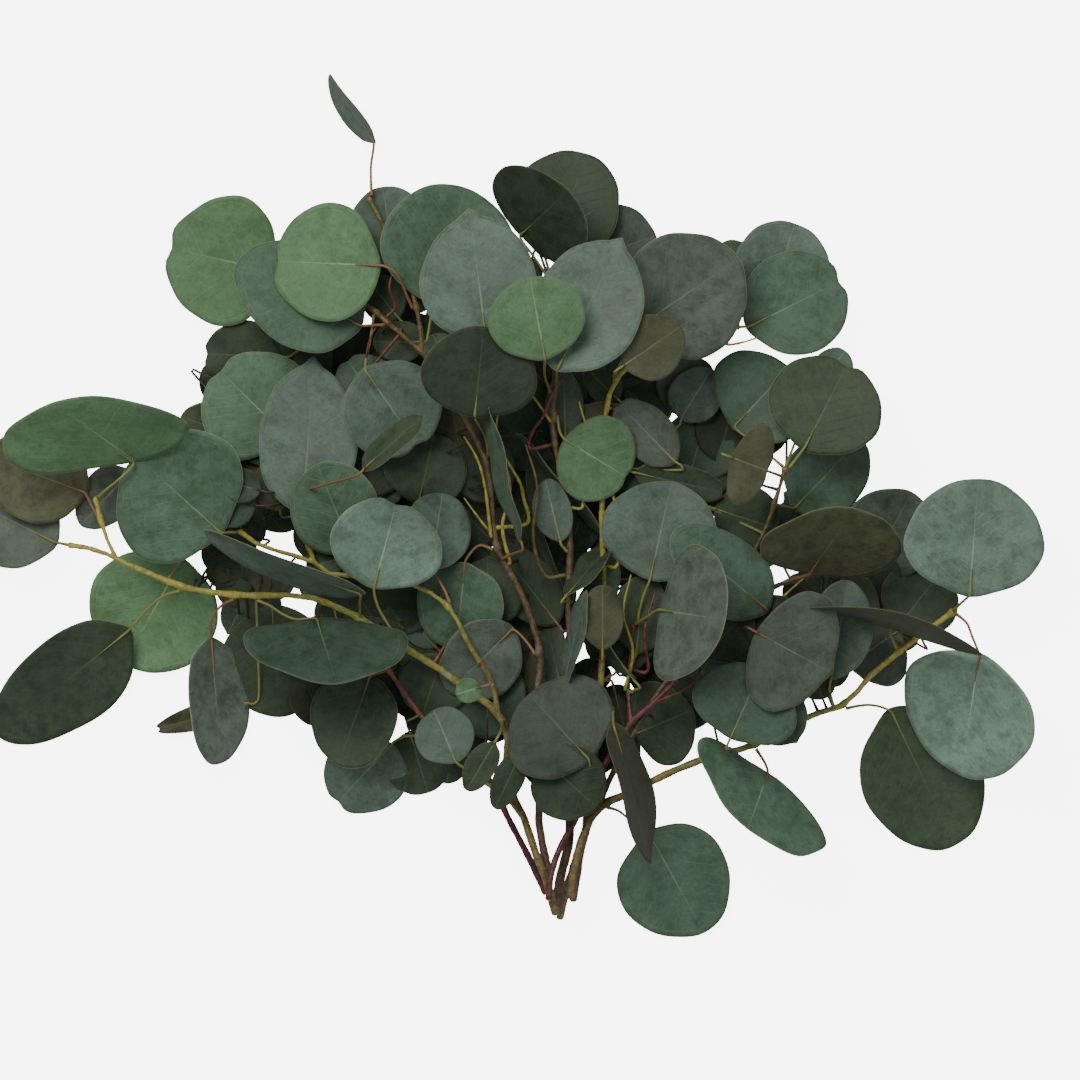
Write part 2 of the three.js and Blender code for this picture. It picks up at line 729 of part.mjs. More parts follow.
const group = new THREE.Group();
for (const item of branches) {
  group.add(meshFrom(item.name, item.tone, branchSolid(item)));
}
const stalks = [];
for (const blade of blades) {
  const stalk = routeStalk(blade, blades, branches, stalks);
  stalks.push(stalk);
  const tube = tubeSolid(stalk.curve, STALK_RADIUS, STALK_RADIUS, STALK_SIDES, STALK_STEP);
  const mesh = meshFrom(blade.name, blade.tone, bladeSolid(blade).add(tube));
  mesh.userData.stalkDepth = stalk.depth;
  group.add(mesh);
}

// The origin is under the middle of the bunch, on the surface that it lies on.
const box = new THREE.Box3().setFromObject(group);
group.position.set(-MIDDLE_X, -MIDDLE_Y, -box.min.z);

export default group;
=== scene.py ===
# %% [markdown]
# # A gathered bunch of silver dollar eucalyptus
# The bunch is eight cut branches with round leaves, about a hundred that show and as many again in the dark
# between them. It lies on a pale table and is seen from above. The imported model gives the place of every
# branch and of the larger leaves; this script gives them their fine form and their living surface, and
# grows the other leaves between them.

# %% Load the frame
import json
import math
import random
from functools import partial

import bmesh
import bpy
import numpy as np
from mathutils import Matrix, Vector, noise
from mathutils.bvhtree import BVHTree


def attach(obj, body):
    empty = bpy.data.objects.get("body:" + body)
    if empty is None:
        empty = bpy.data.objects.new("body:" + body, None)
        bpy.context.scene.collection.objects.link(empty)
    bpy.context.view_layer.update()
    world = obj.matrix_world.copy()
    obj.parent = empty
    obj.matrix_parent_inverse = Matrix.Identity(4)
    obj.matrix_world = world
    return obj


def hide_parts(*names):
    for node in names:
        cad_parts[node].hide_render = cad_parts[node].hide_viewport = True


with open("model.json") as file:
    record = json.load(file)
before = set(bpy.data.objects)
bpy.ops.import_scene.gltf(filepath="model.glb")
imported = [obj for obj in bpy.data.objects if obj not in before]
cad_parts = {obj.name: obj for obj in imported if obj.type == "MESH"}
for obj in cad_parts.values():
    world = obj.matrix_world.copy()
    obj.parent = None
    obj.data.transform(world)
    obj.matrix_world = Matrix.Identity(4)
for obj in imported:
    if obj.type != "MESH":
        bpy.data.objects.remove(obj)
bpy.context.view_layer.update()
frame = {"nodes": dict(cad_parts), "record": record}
MM = 0.001
slot_of = {part["node"]: part["material_slot"] for part in frame["record"]["subparts"]}
leaf_nodes = sorted(name for name in slot_of if name.startswith("leaf"))
branch_nodes = sorted(name for name in slot_of if name.startswith("branch"))
print(len(leaf_nodes), "leaves and", len(branch_nodes), "branches in the frame")

# %% [markdown]
# ## The camera
# The bunch lies down, so the camera looks straight down on it. A long lens from far away keeps the leaves
# that stand high from looking too big. The camera comes first, because everything is judged through it.

# %% Camera
VIEW_WIDTH = 561.6 * MM  # how much shows from side to side
VIEW_CENTRE = Vector((21.1, -17.0, 45.0)) * MM
CAMERA_DISTANCE = 2.6  # metres
SENSOR = 36.0  # mm

camera_data = bpy.data.cameras.new("camera")
camera_data.sensor_width = SENSOR
camera_data.lens = SENSOR * CAMERA_DISTANCE / VIEW_WIDTH
camera_data.clip_end = 20
camera = bpy.data.objects.new("camera", camera_data)
camera.location = VIEW_CENTRE + Vector((0, 0, CAMERA_DISTANCE))
bpy.context.scene.collection.objects.link(camera)
bpy.context.scene.camera = camera
print("lens", round(camera_data.lens, 1), "mm")

# %% [markdown]
# ## Reading a leaf from its solid
# Each packed leaf is a thin blade with a tube for its stalk. The blade is 1.2 mm thick, so the mesh edges
# of just that length stand on its outline, one for each outline point. Their middles give the stalk end,
# the tip and the half width by least squares, which is surer than guessing from a bounding box. The
# stalk's path is walked ring by ring from its far end.

# %% Read the leaves
TURN = 2 * math.pi
BLADE_THICKNESS = 1.2  # mm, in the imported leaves
BELLY = 0.10  # how much wider the blade is towards its stalk than an ellipse
CUP = 0.07  # how far the sides curl up, for each mm of half width
DROOP = 0.05  # how far the tip hangs, for each mm of length
OUTLINE_POINTS = 14  # round a packed blade
RING_REACH = 1.7  # mm, more than the width of the stalk's end ring and less than its ring spacing
SAME_LENGTH = 0.01  # mm


def unique_points(mesh):
    """The mesh's corner points in millimetres, each once, and the neighbours of each."""
    points, index_of, ids = [], {}, []
    for vertex in mesh.vertices:
        key = tuple(round(value * 1e6) for value in vertex.co)
        if key not in index_of:
            index_of[key] = len(points)
            points.append(np.array(vertex.co) / MM)
        ids.append(index_of[key])
    near = [set() for _ in points]
    for edge in mesh.edges:
        a, b = ids[edge.vertices[0]], ids[edge.vertices[1]]
        near[a].add(b)
        near[b].add(a)
    return points, near


def outline_shape(angle):
    """Where the outline is at this angle round the blade: u along it, v across it."""
    return 0.5 - 0.5 * np.cos(angle), np.sin(angle) * (1 + BELLY * np.cos(angle))


def bend(leaf, u, v):
    """How high the curved blade lies over its flat plane."""
    return CUP * np.linalg.norm(leaf["across"]) * v * v - DROOP * np.linalg.norm(leaf["along"]) * u * u


def surface(leaf, u, v, offset=0.0):
    """A point, or an array of points, on the blade's middle surface."""
    u, v = np.asarray(u, float)[..., None], np.asarray(v, float)[..., None]
    lift = bend(leaf, u, v) + np.asarray(offset, float)[..., None]
    return leaf["base"] + u * leaf["along"] + v * leaf["across"] + lift * leaf["normal"]


solvers = {}  # one least-squares table for each number of outline points


def with_normal(base, along, across):
    """A leaf's stalk end, its long and half-wide directions, and the way its upper face looks."""
    normal = np.cross(across, along)
    return {"base": base, "along": along, "across": across, "normal": normal / np.linalg.norm(normal)}


def fit_blade(rim, first):
    """Least squares for base, along and across, and how far the outline is from that blade."""
    angles = TURN * (np.arange(len(rim)) + first) / OUTLINE_POINTS
    u, v = outline_shape(angles)
    used = np.abs(angles - math.pi) > 0.1  # leaves out the tip, which may be notched or drawn out
    if len(rim) not in solvers:
        table = np.stack([np.ones_like(u), u, v], axis=1)
        solvers[len(rim)] = np.linalg.pinv(table[used])
    target = rim.copy()
    for _ in range(4):
        base, along, across = solvers[len(rim)] @ target[used]
        leaf = with_normal(base, along, across)
        target = rim - bend(leaf, u, v)[:, None] * leaf["normal"]
    miss = float(np.abs(surface(leaf, u, v) - rim)[used].max())
    return leaf, miss


def walk_stalk(points, near, start, blade_points):
    """The middles of the stalk's rings, from its far end to the last one before the blade."""
    ring = {i for i in range(len(points)) if np.linalg.norm(points[i] - points[start]) < RING_REACH}
    seen, path = set(), []
    while ring and not ring & blade_points:
        seen |= ring
        path.append(np.mean([points[i] for i in ring], axis=0))
        reached = set().union(*(near[i] for i in ring)) - seen
        if len(reached) != len(ring):
            break
        ring = reached
    return path


def read_leaf(name):
    """Finds the outline, tries it from every start and in both directions, and keeps the best fit."""
    points, near = unique_points(frame["nodes"][name].data)
    pairs = [
        (a, b)
        for a, others in enumerate(near)
        for b in others
        if a < b and abs(np.linalg.norm(points[a] - points[b]) - BLADE_THICKNESS) < SAME_LENGTH
    ]
    ways = [(points[b] - points[a]) / BLADE_THICKNESS for a, b in pairs]
    usual = max(ways, key=lambda way: sum(abs(way @ other) for other in ways))
    pairs = [pair for pair, way in zip(pairs, ways) if abs(way @ usual) > 0.999]
    blade_points = {point for pair in pairs for point in pair}
    rim = np.array([(points[a] + points[b]) / 2 for a, b in pairs])
    centre = rim.mean(axis=0)
    flat = np.linalg.svd(rim - centre)[2]
    turn = np.arctan2((rim - centre) @ flat[1], (rim - centre) @ flat[0])
    rim = rim[np.argsort(turn)]
    others = [i for i in range(len(points)) if i not in blade_points]
    start = max(others, key=lambda i: np.linalg.norm(points[i] - centre))
    path = walk_stalk(points, near, start, blade_points)
    best = None
    rims = [rim]
    if len(rim) > OUTLINE_POINTS:
        rims = [np.delete(rim, extra, axis=0) for extra in range(len(rim))]
    missing = OUTLINE_POINTS - len(rims[0])
    for candidate in [order for one in rims for order in (one, one[::-1])]:
        for shift in range(len(candidate)):
            turned = np.roll(candidate, -shift, axis=0)
            leaf, miss = fit_blade(turned, missing)
            score = miss + 0.02 * np.linalg.norm(leaf["base"] - path[-1])
            if best is None or score < best[0]:
                best = (score, leaf, miss, turned)
    _, leaf, miss, turned = best
    tip_point = turned[OUTLINE_POINTS // 2 - missing]
    reach = (tip_point - leaf["base"]) @ leaf["along"] / (leaf["along"] @ leaf["along"])
    leaf.update(name=name, slot=slot_of[name], tip=round(float(reach) - 1, 3), path=path, miss=miss)
    return leaf


leaves = [read_leaf(name) for name in leaf_nodes]
print("worst misfit", round(max(leaf["miss"] for leaf in leaves), 3), "mm")
print("tips", sorted({leaf["tip"] for leaf in leaves}))
print("stalk rings", [len(leaf["path"]) for leaf in leaves])

# %% [markdown]
# ## Colour and node helpers
# Every colour is written as the eye would pick it, in sRGB, and turned to the linear values that a shader
# works in by one function. One more function adds a shader node with its settings and its links.

# %% Helpers for materials


def linear(code):
    """An sRGB hex colour as linear red, green, blue and alpha."""
    parts = [int(code[i : i + 2], 16) / 255 for i in (1, 3, 5)]
    return tuple(p / 12.92 if p <= 0.04045 else ((p + 0.055) / 1.055) ** 2.4 for p in parts) + (1.0,)


def add_node(tree, kind, settings=None, values=None, links=None):
    """Adds a node. settings are its properties, values its plain inputs, links its linked inputs."""
    node = tree.nodes.new(kind)
    for key, value in (settings or {}).items():
        setattr(node, key, value)
    for key, value in (values or {}).items():
        node.inputs[key].default_value = value
    for key, source in (links or {}).items():
        tree.links.new(source, node.inputs[key])
    return node


def new_material(name):
    material = bpy.data.materials.new(name)
    material.use_nodes = True
    tree = material.node_tree
    tree.nodes.clear()
    shader = add_node(tree, "ShaderNodeBsdfPrincipled")
    add_node(tree, "ShaderNodeOutputMaterial", links={"Surface": shader.outputs["BSDF"]})
    return material, tree, shader


def formula(tree, operation, *inputs):
    """A math node whose inputs are numbers or sockets. Returns its output socket."""
    node = add_node(tree, "ShaderNodeMath", {"operation": operation})
    for index, value in enumerate(inputs):
        if isinstance(value, (int, float)):
            node.inputs[index].default_value = value
        else:
            tree.links.new(value, node.inputs[index])
    return node.outputs[0]


def blend_colours(tree, factor, first, second):
    """Mixes two colours, each a hex code or a socket. Returns the mixed colour socket."""
    node = add_node(tree, "ShaderNodeMix", {"data_type": "RGBA", "clamp_factor": True})
    for index, value in ((0, factor), (6, first), (7, second)):
        if isinstance(value, str):
            node.inputs[index].default_value = linear(value)
        elif isinstance(value, (int, float)):
            node.inputs[index].default_value = value
        else:
            tree.links.new(value, node.inputs[index])
    return node.outputs[2]


def noise_cloud(tree, place, size, detail=3.0, roughness=0.55):
    """Noise whose patches are about size millimetres across."""
    values = {"Scale": 1 / (size * MM), "Detail": detail, "Roughness": roughness}
    return add_node(tree, "ShaderNodeTexNoise", values=values, links={"Vector": place}).outputs["Fac"]


def soft_step(tree, value, low, high):
    """0 below low, 1 above high, smooth between."""
    settings, values = {"interpolation_type": "SMOOTHSTEP"}, {"From Min": low, "From Max": high}
    return add_node(tree, "ShaderNodeMapRange", settings, values, {"Value": value}).outputs["Result"]


def add_bump(tree, shader, relief, strength, depth):
    """Lets relief, from 0 to 1, tilt the surface as if it were depth millimetres high."""
    values = {"Strength": strength, "Distance": depth * MM}
    bump = add_node(tree, "ShaderNodeBump", values=values, links={"Height": relief})
    tree.links.new(bump.outputs["Normal"], shader.inputs["Normal"])


print("sage green in linear light:", [round(value, 3) for value in linear("#5f7f76")])

# %% [markdown]
# ## The leaf's skin
# A eucalyptus leaf is a tough blade under a waxy bloom, the fine white dust that makes it look blue-grey.
# The bloom is uneven: it is rubbed off in soft patches, where the deeper green shows and shines a little
# more. A pale midrib runs from the stalk, fading towards the tip. Side veins leave it at a slant and meet a
# thin vein that follows the edge. The edge itself is a hair-thin pale line, reddish on some leaves. Small
# dark specks are old oil glands and scars.
#
# The blades carry two maps: "plan" holds millimetres along and across the blade, for the veins, and "rim"
# holds the way out from the middle (0) to the edge (1) and which side of the blade it is.

# %% Leaf material
VEIN_SPACING = 6.5  # mm between side veins
VEIN_WIDTH = 0.45  # mm; real ones are about 0.2 mm, drawn wider so that they show
VEIN_SLANT = 0.8  # how far a side vein runs along the blade for each mm across it
MOTTLE_SIZE = 9.0  # mm
SPECK_SIZE = 1.3  # mm
PLAN_SCALE = 100.0  # mm for one unit of the plan map
EDGE_VEIN = 0.89  # how far out the vein along the edge lies, from 0 in the middle to 1
MIDRIB_FADE = (12, 52)  # mm from the stalk, where the midrib starts to fade and where it is faintest


def leaf_veins(tree, place, along, across, out):
    """How much of the side veins and the edge vein, and of the midrib, shows at a point of the blade."""
    calc, cloud, step = partial(formula, tree), partial(noise_cloud, tree, place), partial(soft_step, tree)
    wobble = calc("MULTIPLY", calc("SUBTRACT", cloud(14), 0.5), 5.0)
    slanted = calc("ADD", calc("SUBTRACT", along, calc("MULTIPLY", across, VEIN_SLANT)), wobble)
    phase = calc("PINGPONG", slanted, VEIN_SPACING / 2)
    side_vein = calc("SUBTRACT", 1.0, step(phase, VEIN_WIDTH * 0.2, VEIN_WIDTH))
    side_vein = calc("MULTIPLY", side_vein, calc("SUBTRACT", 1.0, step(out, 0.80, 0.92)))
    from_ring = calc("ABSOLUTE", calc("SUBTRACT", out, EDGE_VEIN))
    ring_vein = calc("SUBTRACT", 1.0, step(from_ring, 0.004, 0.014))
    veins = calc("MAXIMUM", side_vein, calc("MULTIPLY", ring_vein, 0.8))
    fade = calc("SUBTRACT", 1.0, step(along, *MIDRIB_FADE))
    width = calc("ADD", calc("MULTIPLY", fade, 0.26), 0.12)
    midrib = calc("SUBTRACT", 1.0, step(calc("DIVIDE", across, width), 0.6, 1.5))
    midrib = calc("MULTIPLY", midrib, calc("ADD", calc("MULTIPLY", fade, 0.7), 0.3))
    return veins, midrib


def leaf_material(name, bloom, skin, vein, blotch, edge="#8d8c6c"):
    """bloom is the waxy colour, skin the rubbed green, vein the midrib's, blotch how many dark patches."""
    material, tree, shader = new_material(name)
    place = add_node(tree, "ShaderNodeTexCoord").outputs["Object"]
    calc, cloud, step = partial(formula, tree), partial(noise_cloud, tree, place), partial(soft_step, tree)
    mix = partial(blend_colours, tree)
    maps = {}
    for key in ("plan", "rim"):
        uv = add_node(tree, "ShaderNodeUVMap", {"uv_map": key}).outputs["UV"]
        maps[key] = add_node(tree, "ShaderNodeSeparateXYZ", links={"Vector": uv}).outputs
    along = calc("MULTIPLY", maps["plan"]["X"], PLAN_SCALE)
    across = calc("ABSOLUTE", calc("MULTIPLY", maps["plan"]["Y"], PLAN_SCALE))
    out, under = maps["rim"]["X"], maps["rim"]["Y"]
    veins, midrib = leaf_veins(tree, place, along, across, out)

    rubbed = step(cloud(MOTTLE_SIZE, 6.0, 0.72), 0.40, 0.66)
    tone = mix(calc("MULTIPLY", rubbed, 0.85), bloom, skin)
    tone = mix(calc("MULTIPLY", step(cloud(38, 1.0), 0.35, 0.65), 0.35), tone, skin)
    dusk = step(cloud(17, 4.0, 0.65), 0.60 - 0.1 * blotch, 0.74)
    tone = mix(calc("MULTIPLY", dusk, 0.55 * blotch), tone, "#232e22")
    speck = step(cloud(SPECK_SIZE, 2.0, 0.6), 0.58, 0.70)
    tone = mix(calc("MULTIPLY", speck, 0.30), tone, "#272f1f")
    shown = calc("MULTIPLY", veins, step(cloud(12, 2.0), 0.40, 0.62))
    tone = mix(calc("MULTIPLY", shown, 0.17), tone, vein)
    tone = mix(calc("MULTIPLY", midrib, 0.58), tone, vein)
    tone = mix(calc("MULTIPLY", under, 0.45), tone, "#5f6d62")
    tone = mix(calc("MULTIPLY", step(out, 0.985, 0.998), 0.7), tone, edge)
    # the shade value darkens or lightens the whole leaf's colour: partly its own tone, partly painted shade
    # for leaves that lie in shadow deep in the bunch
    shade = add_node(tree, "ShaderNodeAttribute", {"attribute_name": "shade"}).outputs["Fac"]
    grain = calc("ADD", 0.66, calc("MULTIPLY", cloud(2.4, 4.0, 0.75), 0.68))
    links = {"Color": tone, "Value": calc("MULTIPLY", shade, grain)}
    shaded = add_node(tree, "ShaderNodeHueSaturation", links=links).outputs["Color"]
    tree.links.new(shaded, shader.inputs["Base Color"])

    rough = calc("ADD", 0.50, calc("MULTIPLY", calc("SUBTRACT", 1.0, rubbed), 0.16))
    tree.links.new(rough, shader.inputs["Roughness"])
    shader.inputs["IOR"].default_value = 1.42
    shader.inputs["Specular IOR Level"].default_value = 0.35
    shader.inputs["Sheen Weight"].default_value = 0.05
    shader.inputs["Sheen Roughness"].default_value = 0.5
    relief = calc("MULTIPLY", veins, -0.35)
    relief = calc("ADD", relief, calc("MULTIPLY", cloud(2.2, 4.0), 0.25))
    relief = calc("ADD", relief, calc("MULTIPLY", cloud(11.0, 2.0), 0.7))
    add_bump(tree, shader, relief, 0.5, 0.5)
    return material


leaf_skins = {
    "leaf_fresh": leaf_material("young waxy leaf", "#5f815d", "#4a6c46", "#9fb083", 0.2),
    "leaf_green": leaf_material("full green leaf", "#506a56", "#3b523c", "#82927a", 0.6),
    "leaf_glaucous": leaf_material("blue bloomed leaf", "#617669", "#475a4b", "#8f9d89", 0.6),
    "leaf_grey": leaf_material("dusty grey leaf", "#5b685c", "#434f42", "#7f8973", 1.0),
    "leaf_dark": leaf_material("shaded old leaf", "#44553f", "#2d3c29", "#66744f", 0.7),
    "leaf_olive": leaf_material("olive old leaf", "#575c43", "#3f432b", "#777757", 0.8, "#857a5c"),
}
print(len(leaf_skins), "leaf skins")

# %% [markdown]
# ## Stalks
# A stalk is a fresh, smooth thread about a millimetre and a half thick, yellow-green on most leaves and
# rosy on some, and dull in the shade of the bunch. It is wider where it leaves the branch, and sinks into
# the foot of the blade, where the painted midrib takes over.

# %% Stalk materials


def stalk_material(name, light, dark):
    material, tree, shader = new_material(name)
    place = add_node(tree, "ShaderNodeTexCoord").outputs["Object"]
    tone = blend_colours(tree, noise_cloud(tree, place, 6, roughness=0.5), light, dark)
    tree.links.new(tone, shader.inputs["Base Color"])
    shader.inputs["Roughness"].default_value = 0.45
    shader.inputs["IOR"].default_value = 1.4
    return material


stalk_skins = [
    stalk_material("yellow green stalk", "#87854a", "#666c38"),
    stalk_material("rosy stalk", "#875848", "#75653c"),
    stalk_material("shaded stalk", "#3f3f28", "#2d2a1b"),
]
SHADED_STALK = 2
print(len(stalk_skins), "stalk skins")

# %% [markdown]
# ## Growing a leaf
# The blade is a polar net: rings of points from the middle out to the edge, so the edge is a smooth line
# and the net is finest where the form changes most. The same net is laid twice, half a millimetre apart,
# and joined round the rim. The plain disc becomes a leaf by small moves: the halves fold slightly along the
# midrib, the edge waves, the outline swells unevenly and the tip is notched, drawn out or round. A
# displacement texture could do this too, but formulas keep the leaf inside the space its solid holds.

# %% Leaf meshes
RINGS = 12
SPOKES = 56
BLADE = 0.5  # mm, thin beside the solid's 1.2 mm
STALK = 0.68  # mm, the stalk's radius
LOWEST = 0.1  # mm, how near a blade comes to the table


def grown_outline(leaf, rng):
    """u and v at each spoke's end, with the leaf's own swell and its tip."""
    angle = TURN * np.arange(SPOKES) / SPOKES
    u, v = outline_shape(angle)
    swell = np.ones(SPOKES)
    for waves, least, most in ((2, -0.015, 0.015), (3, 0.010, 0.024), (5, 0.003, 0.008), (9, 0.003, 0.008)):
        swell += rng.uniform(least, most) * np.sin(waves * angle + rng.uniform(0, 6.28))
    width = 0.20 if leaf["tip"] < 0 else 0.13
    tip = leaf["tip"] * np.exp(-(((angle - math.pi) / width) ** 2))
    wedge = -0.03 * np.exp(-((np.minimum(angle, TURN - angle) / 0.25) ** 2))
    return 0.5 + (u - 0.5) * swell + tip + wedge, v * swell


def blade_net(leaf, rng):
    """The blade's points above and below, ring by ring, with their places on the plan and rim maps."""
    edge_u, edge_v = grown_outline(leaf, rng)
    reach = (np.arange(1, RINGS + 1) / RINGS) ** 0.85
    reach[-1] = 1.0
    u = np.concatenate([[0.5], (0.5 + np.outer(reach, edge_u - 0.5)).ravel()])
    v = np.concatenate([[0.0], np.outer(reach, edge_v).ravel()])
    out = np.concatenate([[0.0], np.repeat(reach, SPOKES)])
    turn = np.concatenate([[0.0], np.tile(TURN * np.arange(SPOKES) / SPOKES, RINGS)])
    length, half = np.linalg.norm(leaf["along"]), np.linalg.norm(leaf["across"])
    # the edge waves, opposite sides lift, a groove follows the midrib and the halves fold along it
    wave = rng.uniform(0.5, 1.1) * out**3
    lift = wave * np.sin(rng.choice([3, 4, 5]) * turn + rng.uniform(0, 6.28))
    lift += 0.5 * rng.uniform(0.4, 1.0) * out**2 * np.sin(2 * turn + rng.uniform(0, 6.28))
    lift -= 0.3 * np.exp(-np.abs(v) * half / 2.0) * (1 - 0.6 * u)
    lift -= rng.uniform(0.015, 0.06) * half * np.clip(1 - np.abs(v), 0, 1) * (1 - 0.5 * u)
    thin = BLADE / 2 * (1 - 0.45 * out**6)
    top = surface(leaf, u, v, lift + thin)
    low = surface(leaf, u, v, lift - thin)
    low[:, 2] = np.maximum(low[:, 2], LOWEST)
    top[:, 2] = np.maximum(top[:, 2], LOWEST + 0.3)
    return top, low, u * length, v * half, out


def tube_rings(path, radii, sides=8):
    """Rings of points round a path, each square to it."""
    rings = []
    side = None
    for index, point in enumerate(path):
        ahead = path[min(index + 1, len(path) - 1)] - path[max(index - 1, 0)]
        ahead = ahead / max(np.linalg.norm(ahead), 1e-9)
        if side is None:
            side = np.cross(ahead, [0.0, 0.0, 1.0] if abs(ahead[2]) < 0.9 else [1.0, 0.0, 0.0])
        side = side - (side @ ahead) * ahead
        side /= np.linalg.norm(side)
        other = np.cross(ahead, side)
        angle = TURN * np.arange(sides) / sides
        circle = np.outer(np.cos(angle), side) + np.outer(np.sin(angle), other)
        rings.append(point + radii[index] * circle)
    return rings


def smooth_path(points, spacing=1.6):
    """A Catmull-Rom curve through the points, in even small steps."""
    points = [np.asarray(point, float) for point in points]
    ends = [2 * points[0] - points[1], *points, 2 * points[-1] - points[-2]]
    line = []
    for a, b, c, d in zip(ends, ends[1:], ends[2:], ends[3:]):
        count = max(1, round(np.linalg.norm(c - b) / spacing))
        for t in np.arange(count) / count:
            curve = (2 * a - 5 * b + 4 * c - d) * t**2 + (3 * b - a - 3 * c + d) * t**3
            line.append(0.5 * (2 * b + (c - a) * t + curve))
    line.append(points[-1])
    return np.array(line)


def add_tube(bm, path, radii, material_index, sides=8):
    """Adds a closed tube to the mesh being built."""
    rings = []
    for ring in tube_rings(path, radii, sides):
        rings.append([bm.verts.new(Vector(corner) * MM) for corner in ring])
    faces = []
    for low, high in zip(rings, rings[1:]):
        for i in range(sides):
            j = (i + 1) % sides
            faces.append(bm.faces.new((low[i], low[j], high[j], high[i])))
    faces.append(bm.faces.new(rings[0][::-1]))
    faces.append(bm.faces.new(rings[-1]))
    for face in faces:
        face.material_index = material_index
        face.smooth = True


def finish_piece(bm, name, materials, attribute, value):
    """Turns the mesh being built into a named piece with its materials and one value for all of it."""
    mesh = bpy.data.meshes.new(name)
    bm.to_mesh(mesh)
    bm.free()
    whole = mesh.attributes.new(attribute, "FLOAT", "POINT")
    whole.data.foreach_set("value", np.full(len(mesh.vertices), value, np.float32))
    for material in materials:
        mesh.materials.append(material)
    piece = bpy.data.objects.new(name, mesh)
    bpy.context.scene.collection.objects.link(piece)
    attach(piece, "root")
    return piece


def grow_leaf(leaf, rng):
    """Makes the leaf's piece: its blade and the stalk that sinks into the foot of the blade."""
    top, low, along, across, out = blade_net(leaf, rng)
    bm = bmesh.new()
    plan_map, rim_map = bm.loops.layers.uv.new("plan"), bm.loops.layers.uv.new("rim")
    sheets = [[bm.verts.new(Vector(point) * MM) for point in sheet] for sheet in (top, low)]

    def add_face(corners, under):
        """corners are (sheet, index) pairs."""
        face = bm.faces.new([sheets[sheet][index] for sheet, index in corners])
        face.smooth = True
        for loop, (_, index) in zip(face.loops, corners):
            loop[plan_map].uv = (along[index] / PLAN_SCALE, across[index] / PLAN_SCALE)
            loop[rim_map].uv = (out[index], under)

    for i in range(SPOKES):
        j = (i + 1) % SPOKES
        add_face([(0, 0), (0, 1 + i), (0, 1 + j)], 0.0)
        add_face([(1, 0), (1, 1 + j), (1, 1 + i)], 1.0)
        for ring in range(RINGS - 1):
            a, b = 1 + ring * SPOKES + i, 1 + ring * SPOKES + j
            c, d = a + SPOKES, b + SPOKES
            add_face([(0, a), (0, c), (0, d), (0, b)], 0.0)
            add_face([(1, a), (1, b), (1, d), (1, c)], 1.0)
        a, b = 1 + (RINGS - 1) * SPOKES + i, 1 + (RINGS - 1) * SPOKES + j
        add_face([(0, a), (1, a), (1, b), (0, b)], 0.0)
    foot_u = np.linspace(0.0, 0.22, 6)
    foot = surface(leaf, foot_u, 0 * foot_u, -0.25 - 0.9 * foot_u)
    stalk = smooth_path([*leaf["path"], foot[0], foot[2]])
    path = np.concatenate([stalk, foot[3:]])
    radii = np.full(len(path), STALK)
    radii[-6:] *= np.linspace(0.95, 0.25, 6)
    radii *= 1 + 0.5 * np.exp(-np.arange(len(path)) / 2.5)
    add_tube(bm, path, radii, 1)
    bmesh.ops.recalc_face_normals(bm, faces=bm.faces)
    stalk_skin = stalk_skins[leaf.get("stalk_skin", rng.choice([0, 0, 1]))]
    materials = [leaf_skins[leaf["slot"]], stalk_skin]
    return finish_piece(bm, "grown_" + leaf["name"], materials, "shade", leaf["shade"])


# how much darker or lighter some leaves are than others of their kind: partly each leaf's own tone, and
# partly painted shade on leaves that lie in shadow in the bunch or stand steep
LEAF_TONES_AND_PAINTED_SHADE = {
    "leaf_top_2": 0.45, "leaf_centre_top_1": 0.5, "leaf_top_3": 0.8, "leaf_centre_right_1": 0.7,
    "leaf_centre_top_2": 0.8, "leaf_front_1": 0.62, "leaf_front_2": 0.6, "leaf_left_9": 0.6,
    "leaf_right_edge_on": 0.7, "leaf_centre_right_2": 0.8, "leaf_centre_right_3": 0.85,
    "leaf_right_5": 0.75, "leaf_top_right_4": 0.8, "leaf_centre_left_4": 0.75,
    "leaf_low_left_3": 0.75, "leaf_centre_left_6": 0.85,
    "leaf_low_left_2": 0.85, "leaf_left_5": 0.85, "leaf_right_2": 0.85, "leaf_left_upper_1": 0.9,
    "leaf_centre_left_1": 1.35, "leaf_left_upper_2": 1.35, "leaf_low_right_2": 1.7, "leaf_right_1": 1.2,
    "leaf_left_6": 1.25, "leaf_left_4": 1.15, "leaf_low_right_4": 1.2, "leaf_top_1": 1.0,
}
USUAL_SHADE = 0.95
for leaf in leaves:
    leaf["shade"] = LEAF_TONES_AND_PAINTED_SHADE.get(leaf["name"], USUAL_SHADE)
    seed = sum(ord(letter) * (i + 1) for i, letter in enumerate(leaf["name"]))
    piece = grow_leaf(leaf, random.Random(seed))
    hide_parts(leaf["name"])
print("grown", len(leaves), "leaves")

# %% [markdown]
# ## Branches
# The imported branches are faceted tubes. A copy of each is cut finer, smoothed until the facets are gone and
# the forks run into each other as living wood does, and then let out again by what the smoothing took. A
# eucalyptus twig is swollen where each stalk leaves it, so the skin is pushed out there, and noise gives
# the bark its uneven run. A voxel remesh would do the same, but takes minutes on tubes this long and thin.

# %% Branch meshes
EDGE = 1.3  # mm, the longest edge left after cutting
SMOOTHING = 5
LET_OUT = 0.30  # mm that the smoothing took
KNOB_REACH = 2.6  # mm, how wide a swelling at a stalk is
KNOB_HEIGHT = 0.8  # mm
RUN_SIZE = 7.0  # mm between the bark's broad swells
GRAIN_SIZE = 1.5  # mm between its fine ones

branch_tree = {}
for name in branch_nodes:
    mesh = frame["nodes"][name].data
    corners = [vertex.co / MM for vertex in mesh.vertices]
    branch_tree[name] = BVHTree.FromPolygons(corners, [polygon.vertices for polygon in mesh.polygons])


